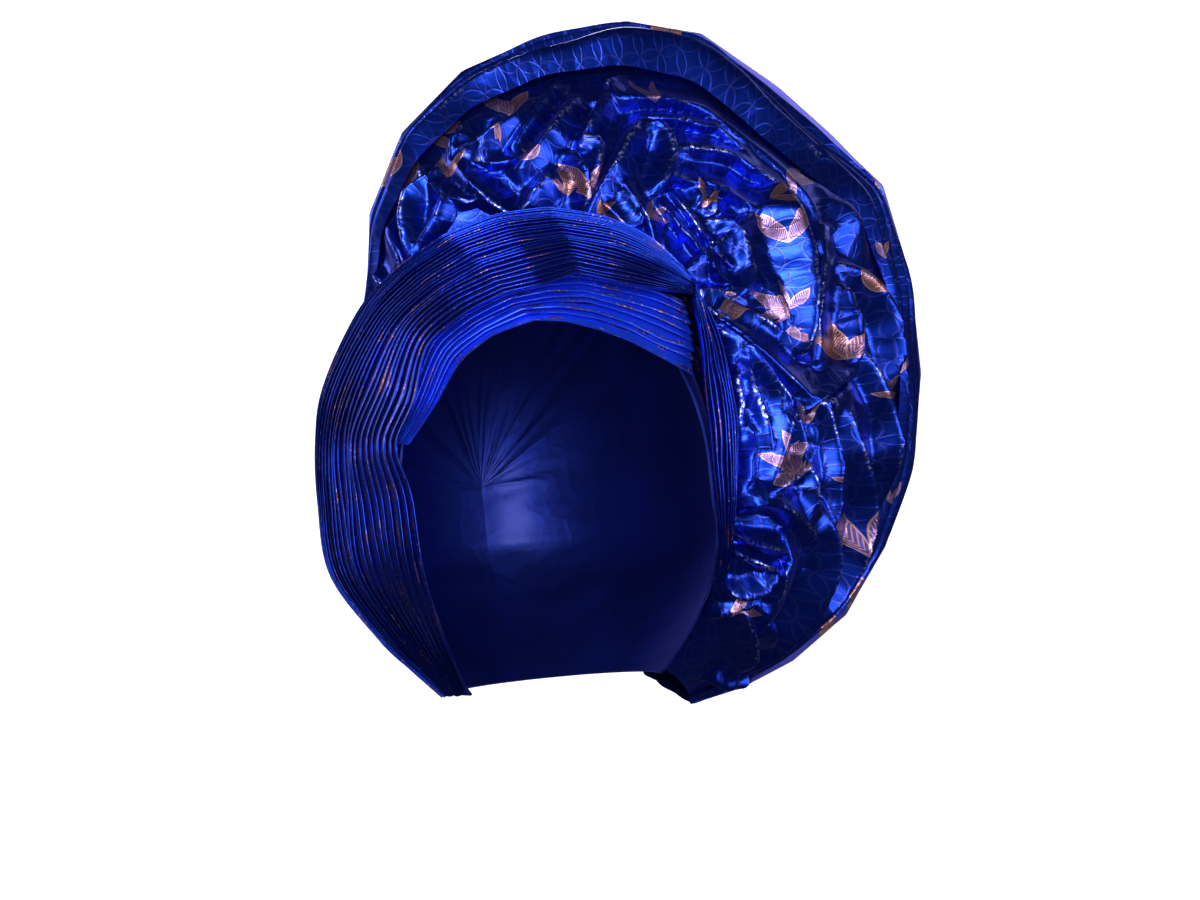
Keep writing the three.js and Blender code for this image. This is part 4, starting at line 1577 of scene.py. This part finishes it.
@dataclass
class Studio:
    """The camera at the photograph's angle, a pale sweep and soft lights."""

    view: View = View()
    sensor: float = 36.0
    floor: float = -0.42
    air: str = "C8CCE0"
    air_strength: float = 0.03
    paper: str = "F4F4F6"
    paper_roughness: float = 0.9
    paper_glow: float = 0.55
    bend_steps: int = 12
    lights: Table = Table(
        "x y z size_x size_y power red green blue",
        (
            (-0.6, -1.2, 1.25, 0.6, 0.5, 24, 1.0, 0.98, 1.0),
            (1.2, -1.3, 0.2, 0.35, 0.7, 6, 1.0, 0.97, 1.0),
            (-0.45, -2.0, 0.1, 0.8, 0.7, 34, 1.0, 0.98, 1.0),
            (1.3, -0.9, -0.28, 0.7, 0.25, 7, 1.0, 0.98, 1.0),
            (1.0, 0.5, 0.6, 0.4, 0.9, 1, 1.0, 0.95, 1.0),
            (-1.0, 0.7, 0.5, 0.5, 0.9, 6, 1.0, 0.97, 1.0),
            (0.5, 1.6, 0.5, 0.8, 0.8, 14, 1.0, 1.0, 1.0),
        ),
    )

    def add_camera(self) -> None:
        """Aim the camera so that the target falls on its own pixel of the photograph."""
        view = self.view
        side, top, ahead = (Vector(axis) for axis in view.axes())
        data = bpy.data.cameras.new("camera")
        data.sensor_width = self.sensor
        wide, high = view.image
        data.lens = self.sensor * view.distance / view.metres_per_pixel / wide
        data.shift_x = (wide / 2 - view.target_pixel[0]) / wide
        data.shift_y = (view.target_pixel[1] - high / 2) / wide
        camera = bpy.data.objects.new("camera", data)
        place = Vector(view.target) - ahead * view.distance
        camera.matrix_world = Matrix.Translation(place) @ Matrix(
            (side, top, -ahead)
        ).transposed().to_4x4()
        bpy.context.collection.objects.link(camera)
        bpy.context.scene.camera = camera

    def add_lights(self) -> None:
        """Hang the soft lights, each facing the head tie."""
        for x, y, z, size_x, size_y, power, red, green, blue in self.lights.rows:
            data = bpy.data.lights.new("soft_light", "AREA")
            data.shape = "RECTANGLE"
            data.size, data.size_y = size_x, size_y
            data.energy = power
            data.color = (red, green, blue)
            light = bpy.data.objects.new("soft_light", data)
            light.location = (x, y, z)
            aim = Vector(self.view.target) - light.location
            light.rotation_euler = aim.to_track_quat("-Z", "Y").to_euler()
            bpy.context.collection.objects.link(light)
        world = bpy.data.worlds.new("studio")
        world.use_nodes = True
        background = world.node_tree.nodes["Background"]
        background.inputs["Color"].default_value = linear(self.air)
        background.inputs["Strength"].default_value = self.air_strength
        bpy.context.scene.world = world
        bpy.context.scene.view_settings.view_transform = "Standard"

    def add_sweep(self) -> None:
        """Sweep a pale floor up into a backdrop."""
        wall_y, radius, far, top = 2.2, 0.8, 4.0, 4.0
        outline = [(-far, self.floor), (wall_y - radius, self.floor)]
        for k in range(1, self.bend_steps + 1):
            a = math.pi / 2 * k / self.bend_steps
            outline.append(
                (wall_y - radius + radius * math.sin(a), self.floor + radius * (1 - math.cos(a)))
            )
        outline.append((wall_y, top))
        points = [(x, y, z) for y, z in outline for x in (-far, far)]
        faces = [(2 * i, 2 * i + 1, 2 * i + 3, 2 * i + 2) for i in range(len(outline) - 1)]
        mesh = bpy.data.meshes.new("sweep")
        mesh.from_pydata(points, [], faces)
        mesh.shade_smooth()
        material = bpy.data.materials.new("matt_white_paper")
        material.use_nodes = True
        shader = material.node_tree.nodes["Principled BSDF"]
        shader.inputs["Base Color"].default_value = linear(self.paper)
        shader.inputs["Roughness"].default_value = self.paper_roughness
        shader.inputs["Emission Color"].default_value = linear("FFFFFF")
        shader.inputs["Emission Strength"].default_value = self.paper_glow
        mesh.materials.append(material)
        sweep = bpy.data.objects.new("sweep", mesh)
        bpy.context.collection.objects.link(sweep)
        sweep.visible_glossy = False


def main() -> None:
    """Build the studio and each section of the cloth."""
    logging.basicConfig(level=logging.INFO, format="%(message)s")
    studio = Studio()
    studio.add_camera()
    studio.add_lights()
    studio.add_sweep()
    figured = Taffeta("figured_metallic_taffeta", Weave.FIGURED)
    flecked = Taffeta("pleated_metallic_taffeta", Weave.FLECKED, blue="143AC0", shade="0A2284")
    # The brow's finish is a brighter, less metallic copy of the pleated taffeta: painted light for the
    # brighter-lit brow.
    bright = Taffeta(
        "painted_lit_pleated_taffeta", Weave.FLECKED, blue="1E4CF0", shade="1238C8", metallic=0.75
    )
    rim = Taffeta("shot_rim_taffeta", Weave.FIGURED, painted_band_sheen=True)
    plain = Taffeta("plain_metallic_taffeta", Weave.PLAIN, blue="1230A8", shade="0A1E70")
    # The crown's finish is darker: the duller reverse of the cloth, and painted shade for the hollow
    # inside the crown.
    inside = Taffeta(
        "dull_reverse_painted_shade_taffeta",
        Weave.PLAIN,
        blue="0C2488",
        shade="081650",
        metallic=0.85,
        roughness=0.5,
    )
    fan = Fan()
    sheets = [
        CrownWrap().make(inside),
        PleatedBand(
            "brow_pleats_cloth", BROW, 8, 0.0018, bright, (0.156, 0.062), first=1.7, seed=2
        ).make(),
        PleatedBand("halo_pleats_cloth", HALO, 24, 0.0017, flecked, (0.32, 0.197), seed=3).make(),
        PleatedBand("temple_pleats_cloth", TEMPLE, 7, 0.0017, flecked, (0.13, 0.054), seed=4).make(),
        fan.make_face(figured),
        fan.make_back(plain),
        fan.make_rim(rim),
    ]
    for sheet in sheets:
        sheet.build()


if __name__ == "__main__":
    main()
